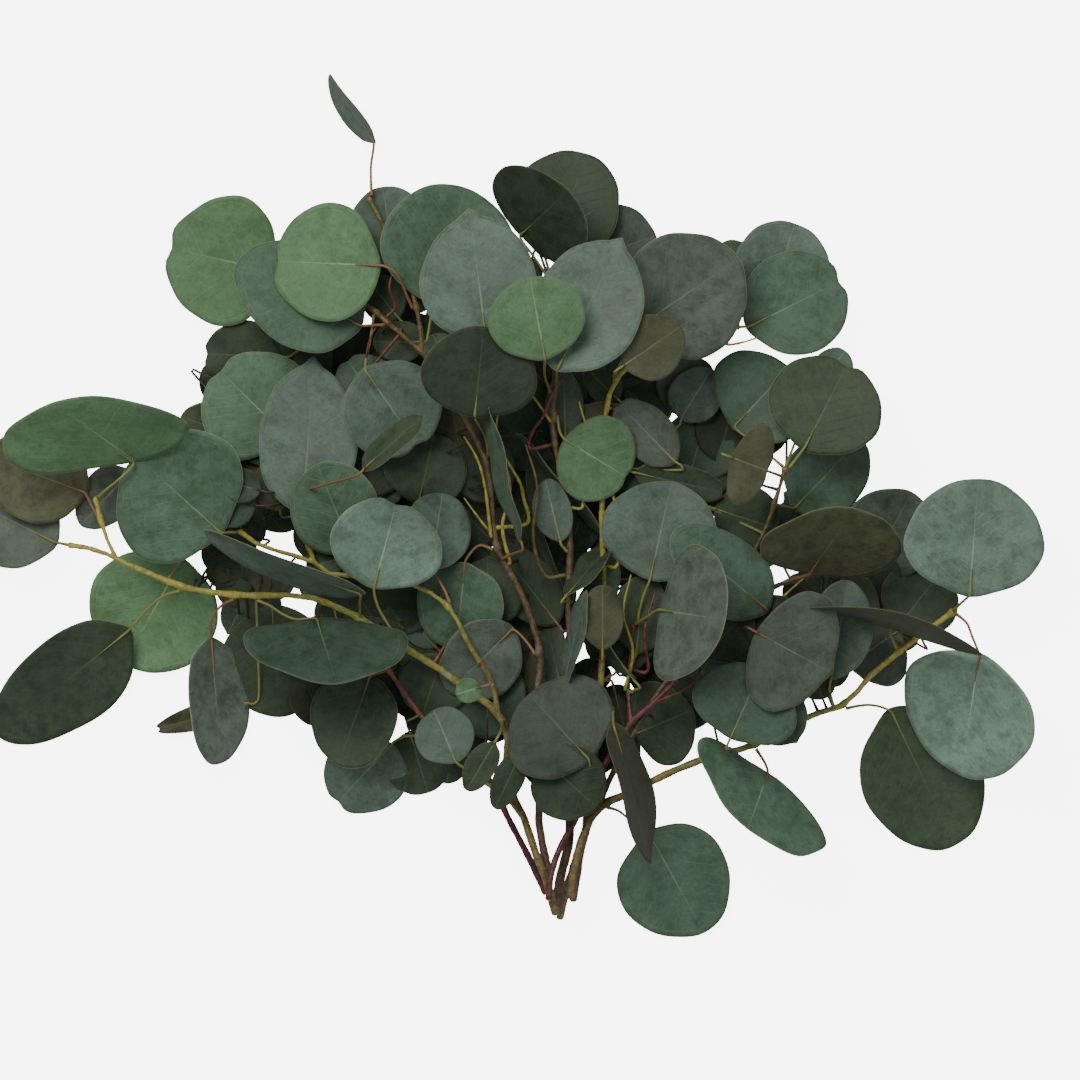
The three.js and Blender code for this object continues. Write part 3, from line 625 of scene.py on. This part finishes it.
def nearest_branch(point):
    """The branch nearest to a point, the nearest place on it, its outward way and the distance."""
    found = [(tree.find_nearest(Vector(point)), name) for name, tree in branch_tree.items()]
    (place, way, _, distance), name = min(found, key=lambda hit: hit[0][3])
    return name, np.array(place), np.array(way), distance


knobs = {name: [] for name in branch_nodes}
for leaf in leaves:
    name, place, _, _ = nearest_branch(leaf["path"][0])
    knobs[name].append(Vector(place))


def grow_branch(name):
    """Makes the branch's piece: a finer, smoothed copy with swellings at the stalks and uneven bark."""
    bm = bmesh.new()
    bm.from_mesh(frame["nodes"][name].data)
    bmesh.ops.remove_doubles(bm, verts=bm.verts, dist=0.001 * MM)
    for _ in range(5):
        long_edges = [edge for edge in bm.edges if edge.calc_length() > EDGE * MM]
        bmesh.ops.subdivide_edges(bm, edges=long_edges, cuts=1)
        bmesh.ops.triangulate(bm, faces=[face for face in bm.faces if len(face.verts) > 3])
    axes = {"use_axis_x": True, "use_axis_y": True, "use_axis_z": True}
    for _ in range(SMOOTHING):
        bmesh.ops.smooth_vert(bm, verts=bm.verts, factor=0.5, **axes)
    bm.normal_update()
    moves = []
    for vertex in bm.verts:
        at = vertex.co / MM
        swell = sum(math.exp(-((at - knob).length_squared) / KNOB_REACH**2) for knob in knobs[name])
        run = 0.28 * noise.fractal(at / RUN_SIZE, 1.0, 2.0, 2)
        run += 0.10 * noise.fractal(at / GRAIN_SIZE, 1.0, 2.0, 2)
        moves.append(LET_OUT + KNOB_HEIGHT * min(swell, 1.0) + run)
    for vertex, move in zip(bm.verts, moves):
        vertex.co += vertex.normal * move * MM
    for face in bm.faces:
        face.smooth = True
    mesh = bpy.data.meshes.new("grown_" + name)
    bm.to_mesh(mesh)
    bm.free()
    piece = bpy.data.objects.new("grown_" + name, mesh)
    bpy.context.scene.collection.objects.link(piece)
    return piece


def age_along(mesh):
    """Stores how far along the branch each point is, from 0 at the cut end to 1 at the last twig."""
    points = np.array([vertex.co for vertex in mesh.vertices])
    foot = points[points[:, 1] < points[:, 1].min() + 3 * MM].mean(axis=0)
    reach = np.linalg.norm(points - foot, axis=1)
    age = mesh.attributes.new("age", "FLOAT", "POINT")
    age.data.foreach_set("value", (reach / reach.max()).astype(np.float32))
    return points, foot


def mark_cut_face(mesh, points, foot):
    """Gives the sawn end its own material, and says how many faces it has."""
    above = (points[:, 1] > foot[1] + 8 * MM) & (points[:, 1] < foot[1] + 14 * MM)
    near = points[above & (np.linalg.norm(points - foot, axis=1) < 25 * MM)]
    axis = Vector(foot - near.mean(axis=0)).normalized()
    end = ((points - foot) @ np.array(axis)).max()
    count = 0
    for polygon in mesh.polygons:
        past = (polygon.center - Vector(foot)) @ axis
        if past > end - 0.7 * MM and polygon.normal @ axis > 0.5:
            polygon.material_index = 1
            count += 1
    return count


def bark_material(name, stops, patch, patch_amount, crack):
    """stops are (age, light colour, dark colour); patch is the colour of the old outer bark left on it."""
    material, tree, shader = new_material(name)
    place = add_node(tree, "ShaderNodeTexCoord").outputs["Object"]
    calc, cloud, step = partial(formula, tree), partial(noise_cloud, tree, place), partial(soft_step, tree)
    mix = partial(blend_colours, tree)
    age = add_node(tree, "ShaderNodeAttribute", {"attribute_name": "age"}).outputs["Fac"]
    shaken = calc("ADD", age, calc("MULTIPLY", calc("SUBTRACT", cloud(18), 0.5), 0.3))
    ramps = []
    for column in (1, 2):
        node = add_node(tree, "ShaderNodeValToRGB", links={"Fac": shaken})
        elements = node.color_ramp.elements
        for index, stop in enumerate(stops):
            element = elements[index] if index < 2 else elements.new(stop[0])
            element.position, element.color = stop[0], linear(stop[column])
        ramps.append(node.outputs["Color"])
    tone = mix(step(cloud(3.2, 5.0, 0.7), 0.38, 0.62), *ramps)
    old = calc("MULTIPLY", step(cloud(8.0, 5.0, 0.7), 0.56, 0.62), patch_amount)
    tone = mix(calc("MULTIPLY", old, calc("SUBTRACT", 1.0, step(age, 0.35, 0.8))), tone, patch)
    tone = mix(calc("MULTIPLY", step(cloud(1.1, 2.0), 0.62, 0.70), 0.5), tone, crack)
    tree.links.new(tone, shader.inputs["Base Color"])
    tree.links.new(calc("ADD", 0.48, calc("MULTIPLY", old, 0.3)), shader.inputs["Roughness"])
    relief = calc("ADD", cloud(1.4, 5.0), calc("MULTIPLY", cloud(4.0, 3.0), 1.5))
    add_bump(tree, shader, relief, 0.6, 0.35)
    return material


def cut_wood_material():
    material, tree, shader = new_material("cut green wood")
    place = add_node(tree, "ShaderNodeTexCoord").outputs["Object"]
    tone = blend_colours(tree, noise_cloud(tree, place, 0.7, 2.0, 0.5), "#d2c298", "#a8935f")
    tree.links.new(tone, shader.inputs["Base Color"])
    shader.inputs["Roughness"].default_value = 0.8
    return material


barks = {
    "yellow_twig": bark_material(
        "yellow twig bark",
        [
            (0.0, "#7a6a3e", "#57482a"), (0.3, "#7d7034", "#5b5024"),
            (0.55, "#868837", "#666d2c"), (1.0, "#a3a044", "#8a752e"),
        ],
        "#85816f", 0.7, "#38281a",
    ),
    "brown_bark": bark_material(
        "brown twig bark",
        [
            (0.0, "#6a523a", "#453325"), (0.4, "#59462b", "#3d2e1b"),
            (0.75, "#62532b", "#463820"), (1.0, "#76683a", "#5a4829"),
        ],
        "#6c6656", 0.5, "#211811",
    ),
    "red_bark": bark_material(
        "maroon twig bark",
        [
            (0.0, "#612c29", "#3f1c1c"), (0.4, "#5f2628", "#3b191c"),
            (0.75, "#6a322a", "#4a1f1f"), (1.0, "#754c30", "#5b3126"),
        ],
        "#5d4b42", 0.4, "#1d0e0d",
    ),
}
cut_wood = cut_wood_material()

for name in branch_nodes:
    piece = grow_branch(name)
    points, foot = age_along(piece.data)
    piece.data.materials.clear()
    piece.data.materials.append(barks[slot_of[name]])
    piece.data.materials.append(cut_wood)
    cut = mark_cut_face(piece.data, points, foot)
    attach(piece, "root")
    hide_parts(name)
    print(name, len(piece.data.polygons), "faces,", cut, "on the cut end")

# %% [markdown]
# ## Leaves between the leaves
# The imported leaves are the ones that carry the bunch's size and outline. Between and beneath them sit many
# more, seen in part or only as a dark corner. Each is given by its stalk end and tip as seen from above,
# and half its width. Its height and lean are found, not typed: leaves press against each other in a
# bunch, so a blade settles just under whatever lies over it without cutting through. The search tries
# heights and leans and keeps the one that crosses least, which is a small rigid stand-in for a drop
# simulation and takes seconds.

# %% Place the leaves between
DRAWN_X, DRAWN_Y = 31.5, -225.0  # mm from the drawing's corner to the frame
GAP = 1.3  # mm between blades
BUNCH_TOP = 92.0  # mm, the highest that a leaf's middle is tried
TABLE_ROOM = 2.5  # mm kept between a blade and the table
NEAR_BY = 75  # mm, how far apart the middles of leaves that can meet are
SEARCH_HEIGHTS = np.arange(3.0, BUNCH_TOP, 2.0)
SEARCH_SLOPES = np.array([-0.45, -0.25, -0.1, 0.0, 0.1, 0.25, 0.45])
probe_grid = np.meshgrid(np.linspace(0.04, 0.96, 7), np.linspace(-0.9, 0.9, 7))
PROBE_U, PROBE_V = (axis.ravel() for axis in probe_grid)
inside = (2 * PROBE_U - 1) ** 2 + PROBE_V**2 < 1.0
PROBE_U, PROBE_V = PROBE_U[inside], PROBE_V[inside]


def height_over(leaf, spots, reach=1.1):
    """The blade's height over each spot seen from above, or not a number beside the blade."""
    basis = np.stack([leaf["along"][:2], leaf["across"][:2]], axis=1)
    u, v = np.linalg.solve(basis, (spots - leaf["base"][:2]).T)
    on_it = (2 * u - 1) ** 2 + (v / (1 + BELLY)) ** 2 < reach
    heights = surface(leaf, u, v)[:, 2]
    return np.where(on_it, heights, np.nan)


def branch_spans(spots, over):
    """For each spot, the bottom and top of every branch there, and whether the leaf lies over it."""
    spans = []
    for name, tree in branch_tree.items():
        for index, spot in enumerate(spots):
            top = tree.ray_cast(Vector((*spot, 150)), Vector((0, 0, -1)))[0]
            if top:
                low = tree.ray_cast(Vector((*spot, -5)), Vector((0, 0, 1)))[0]
                spans.append((index, low.z, top.z, name in over))
    return spans


def settle(base, tip, half, rise, over, placed):
    """A leaf over base and tip, at the height and lean where it crosses the placed ones least.

    The cost adds up millimetres: under the table, into other leaves and into branches. A steep lean costs
    a little, and so does a low place, so that a leaf with room stays high and flat.
    """
    way = tip - base
    side = np.array([way[1], -way[0]]) / np.linalg.norm(way) * half
    spots = base + PROBE_U[:, None] * way + PROBE_V[:, None] * side
    centre = spots.mean(axis=0)
    covers = []
    for leaf in placed:
        if np.linalg.norm(leaf["base"][:2] + leaf["along"][:2] / 2 - centre) < NEAR_BY:
            covers.append((leaf["name"] in over, height_over(leaf, spots)))
    covers = [(is_over, heights) for is_over, heights in covers if not np.isnan(heights).all()]
    beneath = max([np.nanmean(heights) for is_over, heights in covers if is_over], default=-1.0)
    covers = [(is_over or np.nanmean(heights) < beneath, heights) for is_over, heights in covers]
    spans = branch_spans(spots, over)
    at = np.array([span[0] for span in spans], int)
    low, top = np.array([span[1] for span in spans]), np.array([span[2] for span in spans])
    rests_on = np.array([span[3] for span in spans], bool)
    best = None
    slopes_across = SEARCH_SLOPES if rise is None else [rise / half]
    for slope_along in SEARCH_SLOPES:
        for slope_across in slopes_across:
            lift = (PROBE_U - 0.5) * slope_along * np.linalg.norm(way) + PROBE_V * slope_across * half
            z = SEARCH_HEIGHTS[:, None] + lift
            cost = 4 * np.clip(TABLE_ROOM - z, 0, None).sum(axis=1)
            cost += 0.012 * (BUNCH_TOP - SEARCH_HEIGHTS)
            cost += 1.5 * abs(slope_along) + (0.8 * abs(slope_across) if rise is None else 0)
            for is_over, heights in covers:
                miss = (heights + GAP - z) if is_over else (z + GAP - heights)
                cost += np.nansum(np.clip(miss, 0, 6), axis=1)
            over_cross = top + GAP - z[:, at]
            cross = np.where(rests_on, over_cross, np.minimum(z[:, at] + GAP - low, over_cross))
            cost += 0.5 * np.clip(cross, 0, 12).sum(axis=1)
            lowest = int(cost.argmin())
            if best is None or cost[lowest] < best[0]:
                best = (cost[lowest], SEARCH_HEIGHTS[lowest], slope_along, slope_across)
    cost, height, slope_along, slope_across = best
    length = np.linalg.norm(way)
    start = np.array([*base, height - 0.5 * slope_along * length])
    along = np.array([*way, slope_along * length])
    across = np.array([*side, slope_across * half])
    across -= (across @ along) / (along @ along) * along
    return with_normal(start, along, across), cost


def tuck(path, blades):
    """Lowers the inner points of a path under any blade that they would run through."""
    inner = path[1:-1]
    for blade in blades:
        heights = height_over(blade, inner[:, :2])
        crossed = (inner[:, 2] - 3.5 < heights) & (heights < inner[:, 2] + 2.0)
        inner[crossed, 2] = np.maximum(heights[crossed] - 2.0, 1.5)
    return path


def stalk_to_branch(leaf):
    """A path from the nearest branch to the blade."""
    back = -leaf["along"] / np.linalg.norm(leaf["along"])
    _, place, way, distance = nearest_branch(leaf["base"] + back * 6)
    bend_point = leaf["base"] + back * min(6, 0.4 * distance + 1)
    sag = np.array([0, 0, -0.08 * distance])
    path = [place - way * 0.6, place + way * 1.5, (place + bend_point) / 2 + sag, bend_point, leaf["base"]]
    return tuck(smooth_path(path, 3.0), placed)


CORE = ("branch_brown_centre", "branch_core_left", "branch_yellow_centre", "branch_right_inner")
inner_rows = [
    # slot, stalk end x y, tip x y, half width, rise of one side (None: found), names it lies over
    ("leaf_glaucous", -86, 352, -93, 393, 22, None, ()),
    ("leaf_olive", 33, 298, 62, 318, 17, None, ("leaf_top_right_1",)),
    ("leaf_grey", 10, 354, 51, 368, 24, None, ()),
    ("leaf_grey", -226, 244, -252, 216, 14, None, ()),
    ("leaf_olive", -165, 122, -213, 108, 7, None, ()),
    ("leaf_dark", -152, 172, -148, 114, 28, None, ()),
    ("leaf_dark", -118, 166, -112, 133, 35, None, ()),
    ("leaf_dark", -79, 106, -69.5, 74, 19, None, ()),
    ("leaf_dark", -62, 147, -72, 116, 18, None, ()),
    ("leaf_fresh", -41, 133, -53.5, 129, 6.5, None, ("leaf_centre_left_6",)),
    ("leaf_dark", -38, 162, -38, 198, 18, None, ()),
    ("leaf_glaucous", -66, 152, -85, 172, 8, None, ()),
    ("leaf_dark", -148, 305, -188, 306, 18, None, ()),
    ("leaf_dark", -165, 262, -200, 273, 13, None, ()),
    ("leaf_dark", -74, 228, -66, 264, 22, None, ()),
    ("leaf_green", -92, 275, -112, 303, 17, None, ()),
    ("leaf_dark", -100, 245, -72, 272, 7, 10, ("leaf_centre_left_4",)),
    ("leaf_dark", -58, 300, -66, 314, 8, None, ()),
    ("leaf_dark", -71, 312, -98, 312, 11, None, ()),
    ("leaf_dark", -85, 325, -101, 345, 12, None, ()),
    ("leaf_glaucous", 64, 272, 80, 298, 14, None, ()),
    ("leaf_grey", 59, 276, 78, 302, 17, None, ()),
    ("leaf_grey", 60, 249, 30, 280, 13, None, ()),
    ("leaf_olive", 52, 250, 14, 278, 12, None, ()),
    ("leaf_grey", 3, 262, 2, 297, 10, None, ()),
    ("leaf_dark", 30, 282, 16, 296, 9, None, ()),
    ("leaf_olive", 50, 277, 37, 296, 10, None, ()),
    ("leaf_green", 94, 326, 90, 367, 17, None, ()),
    ("leaf_glaucous", 135, 285, 150, 308, 11, None, ()),
    ("leaf_olive", 29, 128, 42, 82, 6, 4, ()),
    ("leaf_dark", -10, 95, 20, 68, 20, None, ()),
    ("leaf_dark", -34, 104, -48, 80, 8, None, ()),
    ("leaf_dark", -20, 98, -34, 68, 8, None, ()),
    ("leaf_olive", 88, 250, 107, 243, 22, None, ("leaf_top_right_4",)),
    ("leaf_dark", 40, 243, 87, 232.5, 10, None, ()),
    ("leaf_green", 68, 240, 79, 277, 20, None, ("leaf_top_right_4",)),
    ("leaf_dark", 82, 224, 114, 214, 18, None, ()),
    ("leaf_grey", 102, 160, 139, 140, 33, None, ()),
    ("leaf_green", 88, 106, 104, 142, 28, None, ()),
    ("leaf_dark", 76, 148, 98, 172, 14, None, ()),
    ("leaf_dark", 105, 128, 122, 104, 15, None, ()),
    ("leaf_glaucous", 141, 137, 150, 187, 17, None, ()),
    ("leaf_grey", 178, 160, 152, 142, 22, None, ()),
    ("leaf_dark", 179, 163, 203, 193, 21, None, ()),
    ("leaf_dark", 150, 150, 158, 190, 15, None, ()),
    ("leaf_green", 100, 197, 118, 203, 6, None, ()),
    ("leaf_green", 26, 209, -26, 263, 2.6, 16, CORE),
    ("leaf_green", -21, 209, -42, 279, 4, 15, CORE),
    ("leaf_dark", -2, 165, -33, 205, 15, None, CORE),
    ("leaf_dark", 0, 178, -19, 222, 5, 12, CORE),
    ("leaf_glaucous", 0, 208, -8, 240, 10, None, CORE),
    ("leaf_glaucous", 2, 133, 12, 182, 4.5, 12, CORE),
    ("leaf_dark", 4, 180, 26, 208, 6, 10, CORE),
    ("leaf_olive", 22, 152, 22, 185, 11, None, CORE),
    ("leaf_dark", 38, 135.5, 9, 168.5, 3, 12, CORE),
    ("leaf_dark", 3, 120, -12, 186, 8, None, CORE),
    ("leaf_dark", -3, 150, -40, 196, 9, None, CORE),
    ("leaf_dark", 8, 158, 30, 196, 9, None, CORE),
    ("leaf_dark", 40, 150, 44, 190, 15, None, ()),
    ("leaf_dark", 30, 140, 52, 170, 10, None, ()),
    ("leaf_dark", -5, 212, -12, 262, 9, None, ("branch_brown_centre",)),
]
FRAME_OFFSET = np.array([DRAWN_X, DRAWN_Y])
# painted shade: the inner leaves' colour is darkened for the shade of the leaves over them
INNER_PAINTED_SHADE = 0.72
TIPS = [0.0, 0.0, -0.05, 0.05]  # round, notched or drawn out, as parts of the leaf's length
placed = list(leaves)
crossings = []
for number, (slot, *ends, half, rise, over) in enumerate(inner_rows, 1):
    base, tip = np.array(ends, float).reshape(2, 2) + FRAME_OFFSET
    leaf, cost = settle(base, tip, half, rise, over, placed)
    leaf.update(name=f"inner_leaf_{number}", slot=slot, shade=INNER_PAINTED_SHADE)
    leaf["tip"] = random.Random(number).choice(TIPS)
    leaf["path"] = stalk_to_branch(leaf)
    grow_leaf(leaf, random.Random(500 + number))
    placed.append(leaf)
    crossings.append((round(float(cost), 1), leaf["name"]))
print(len(crossings), "inner leaves, most crossing:", sorted(crossings, reverse=True)[:12])

# %% [markdown]
# ## Fine twigs
# Thin shoots run up between the leaves from the main branches. Each is a tapering tube that starts on the
# nearest branch and rises a little over it.

# %% Add the fine twigs
TWIG_AGE = 0.8  # how far along its branch a fine twig's bark belongs, from 0 to 1
twig_rows = [
    # slot, radius, rise over the branch, points x y
    ("yellow_twig", 1.1, 3, (-17, 217, -19, 230, -21, 238, -28, 250, -34, 260)),
    ("yellow_twig", 0.7, 3, (-37, 213, -42, 219, -50, 230)),
    ("yellow_twig", 0.9, 4, (-36, 210, -39, 235, -43, 250, -50, 262)),
    ("red_bark", 0.9, 5, (-16, 256, -14, 265, -9, 272, -4, 284, 0, 290, 4, 294)),
    ("yellow_twig", 0.7, 4, (-5, 270, -12, 280, -19.5, 290)),
    ("red_bark", 0.8, 3, (-86, 330, -89, 340, -86, 351)),
    ("red_bark", 0.8, 3, (-101, 296, -101, 304, -99, 313, -96, 319)),
    ("red_bark", 0.8, 4, (51, 124, 66, 131, 73, 140, 77, 150)),
    ("yellow_twig", 0.8, 4, (87, 310.5, 95, 311, 103, 313.5)),
    ("yellow_twig", 0.8, 4, (111, 172, 117, 179, 127, 188)),
    ("yellow_twig", 0.9, 5, (30, 195, 31, 215, 26, 240, 24, 262)),
    ("yellow_twig", 0.9, 6, (-26, 196, -30, 215, -26, 236, -33, 262, -31, 282)),
    ("brown_bark", 1.0, 4, (-8, 190, -14, 210, -12, 236, -18, 258)),
    ("yellow_twig", 0.8, 5, (12, 226, 8, 244, 14, 262, 10, 280)),
    ("red_bark", 0.9, 5, (46, 140, 44, 160, 50, 182)),
    ("yellow_twig", 0.9, 5, (34, 130, 38, 150, 33, 170, 37, 190)),
]
for number, (slot, radius, rise, spots) in enumerate(twig_rows, 1):
    flat = np.array(spots, float).reshape(-1, 2) + FRAME_OFFSET
    start_z = nearest_branch([*flat[0], 45])[1][2]
    end_z = nearest_branch([*flat[-1], 45])[1][2] + rise
    heights = np.linspace(start_z, end_z, len(flat)) + rise * np.sin(np.linspace(0, math.pi, len(flat)))
    host = nearest_branch([*flat[0], start_z])[1]
    over_it = np.array([height_over(leaf, flat) for leaf in leaves])
    over_it = np.where(over_it > start_z - 4, over_it, np.nan)
    lowest = np.where(np.isnan(over_it), 200, over_it).min(axis=0)
    heights = np.maximum(np.minimum(heights, lowest - 3), 2)
    path = smooth_path([host, *np.column_stack([flat, heights])])
    bm = bmesh.new()
    ripple = 1 + 0.12 * np.sin(np.arange(len(path)) * 1.3 + number)
    add_tube(bm, path, radius * np.linspace(1.15, 0.55, len(path)) * ripple, 0)
    bmesh.ops.recalc_face_normals(bm, faces=bm.faces)
    finish_piece(bm, f"fine_twig_{number}", [barks[slot]], "age", TWIG_AGE)
print(len(twig_rows), "fine twigs")

# %% [markdown]
# ## The dark heart
# Deep in the bunch the leaves overlap until no light comes through. These lowest leaves are only ever seen
# as dark shapes, so they are scattered by rule. A grid of spots inside the bunch's outline is thinned to
# the bare ones that no leaf covers yet. Each try takes one of them, with a seeded random turn and size, and
# is kept where it stays inside the outline and clear of the openings that one can see through.

# %% Scatter the lowest leaves
HEART_TRIES = 2600
HEART_LEAVES = 120
# painted shade: the heart leaves' colour is darkened for the deep shade in the middle of the bunch
HEART_PAINTED_SHADE = 0.5
COVERED = 0.88  # a blade hides what is below it out to this radius, squared, where its edge is at 1
OUTLINE = [
    (-187, 318), (-160, 330), (-128, 350), (-105, 382), (-72, 392), (-42, 385), (-28, 362), (0, 350),
    (25, 365), (50, 360), (88, 358), (92, 330), (70, 318), (85, 300), (115, 285), (135, 245), (160, 230),
    (190, 200), (205, 178), (190, 150), (165, 145), (140, 125), (100, 108), (72, 108), (45, 98), (20, 72),
    (0, 66), (-12, 75), (-30, 88), (-55, 78), (-82, 75), (-118, 68), (-122, 92), (-138, 112), (-165, 120),
    (-175, 150), (-185, 180), (-195, 208), (-198, 240), (-192, 280),
]
OPENINGS = [
    # middle x y, radius
    (-148, 205, 7), (-138, 172, 6), (-102, 325, 3), (-85, 111, 4), (-35, 98, 3), (-5, 55, 9),
    (10, 150, 3), (31, 138, 4), (30, 182, 2), (52, 175, 2), (62, 275, 2), (95, 318, 6),
    (112, 240, 10), (113, 190, 7), (75, 103, 4),
]


def inside_outline(x, y):
    """Counts the outline's sides to the right of the point: an odd count means inside."""
    hits = 0
    for (ax, ay), (bx, by) in zip(OUTLINE, OUTLINE[1:] + OUTLINE[:1]):
        if (ay > y) != (by > y) and x < ax + (y - ay) / (by - ay) * (bx - ax):
            hits += 1
    return hits % 2 == 1


def clear_of_openings(spot, share=1.0, room=0.0):
    """Whether the spot keeps off a share of each opening's radius, with some room besides."""
    return all(math.hypot(spot[0] - x, spot[1] - y) > share * radius + room for x, y, radius in OPENINGS)


def still_bare(spots, leaf):
    """The spots that the leaf doesn't cover."""
    return spots[np.isnan(height_over(leaf, spots + FRAME_OFFSET, COVERED))]


def stays_inside(base, tip, half):
    """Whether a blade over base and tip keeps to the outline and off the openings."""
    way = tip - base
    side = np.array([way[1], -way[0]]) / np.linalg.norm(way) * half
    for angle in np.linspace(0, TURN, 16, endpoint=False):
        u, v = outline_shape(angle)
        spot = base + u * way + v * side
        if not inside_outline(*spot) or not clear_of_openings(spot):
            return False
    return clear_of_openings(base + way / 2, share=0.6, room=half)


draw = random.Random(11)
grid = np.stack(np.meshgrid(np.arange(-200, 206, 4.0), np.arange(66, 394, 4.0)), axis=-1).reshape(-1, 2)
bare = np.array([spot for spot in grid if inside_outline(*spot) and clear_of_openings(spot, room=2)])
for leaf in placed:
    bare = still_bare(bare, leaf)
count = 0
for _ in range(HEART_TRIES):
    if count == HEART_LEAVES or len(bare) == 0:
        break
    middle = bare[draw.randrange(len(bare))] + np.array([draw.uniform(-7, 7), draw.uniform(-7, 7)])
    turn, half = draw.uniform(0, TURN), draw.choice([9, 12, 15, 17, 20])
    reach = half * draw.uniform(1.0, 1.3) * np.array([math.cos(turn), math.sin(turn)])
    base, tip = middle - reach, middle + reach
    if not stays_inside(base, tip, half):
        continue
    leaf, _ = settle(base + FRAME_OFFSET, tip + FRAME_OFFSET, half, None, (), placed)
    count += 1
    slot = draw.choice(["leaf_dark", "leaf_dark", "leaf_olive", "leaf_green"])
    leaf.update(name=f"heart_leaf_{count}", slot=slot, shade=HEART_PAINTED_SHADE)
    leaf.update(tip=draw.choice([0.0, 0.05]), stalk_skin=SHADED_STALK)
    leaf["path"] = stalk_to_branch(leaf)
    grow_leaf(leaf, random.Random(900 + count))
    placed.append(leaf)
    bare = still_bare(bare, leaf)
print(count, "leaves in the heart,", len(bare), "spots left bare")

# %% [markdown]
# ## Table and light
# The table is a plain pale sheet, almost white, under leaves that stay dark. A light strong enough to turn
# the sheet white would bleach the leaves, so the sheet glows instead. It is hidden from the diffuse and
# glossy rays that leave the bunch, so its glow doesn't light the leaves from beneath. The price is that
# hardly any shadow shows on it. The light is a wide soft one from above and behind the bunch's tips, with a
# weak one opposite and an even white surround, so that every leaf reads.

# %% Table, light and world
TABLE_GLOW = 6.0
TABLE_HALF = 9  # metres from the middle to each edge, so that low views still end on the sheet
ROOM_GLOW = 0.45

floor_mesh = bpy.data.meshes.new("table")
corners = [(x * TABLE_HALF, y * TABLE_HALF, 0) for x, y in ((-1, -1), (1, -1), (1, 1), (-1, 1))]
floor_mesh.from_pydata(corners, [], [(0, 1, 2, 3)])
floor = bpy.data.objects.new("table", floor_mesh)
floor.location.z = -0.2 * MM
bpy.context.scene.collection.objects.link(floor)
paper, paper_tree, paper_shader = new_material("pale paper")
paper_shader.inputs["Base Color"].default_value = linear("#f2f2f1")
paper_shader.inputs["Roughness"].default_value = 0.9
paper_shader.inputs["Specular IOR Level"].default_value = 0.1
paper_shader.inputs["Emission Color"].default_value = linear("#ffffff")
paper_shader.inputs["Emission Strength"].default_value = TABLE_GLOW
floor_mesh.materials.append(paper)
floor.visible_diffuse = False
floor.visible_glossy = False


def add_area(name, place, size, power, colour):
    """Adds a square soft light that faces the middle of the bunch."""
    data = bpy.data.lights.new(name, "AREA")
    data.size, data.energy, data.color = size, power, linear(colour)[:3]
    lamp = bpy.data.objects.new(name, data)
    lamp.location = place
    lamp.rotation_euler = (Vector((0, 0, 0.04)) - Vector(place)).to_track_quat("-Z", "Y").to_euler()
    bpy.context.scene.collection.objects.link(lamp)


add_area("window", (-0.6, 0.9, 1.7), 1.0, 30, "#fffaf2")
add_area("fill", (1.2, -0.6, 1.4), 1.6, 5, "#eef4ff")
world = bpy.data.worlds.new("white room")
world.use_nodes = True
world.node_tree.nodes["Background"].inputs["Color"].default_value = linear("#ffffff")
world.node_tree.nodes["Background"].inputs["Strength"].default_value = ROOM_GLOW
bpy.context.scene.world = world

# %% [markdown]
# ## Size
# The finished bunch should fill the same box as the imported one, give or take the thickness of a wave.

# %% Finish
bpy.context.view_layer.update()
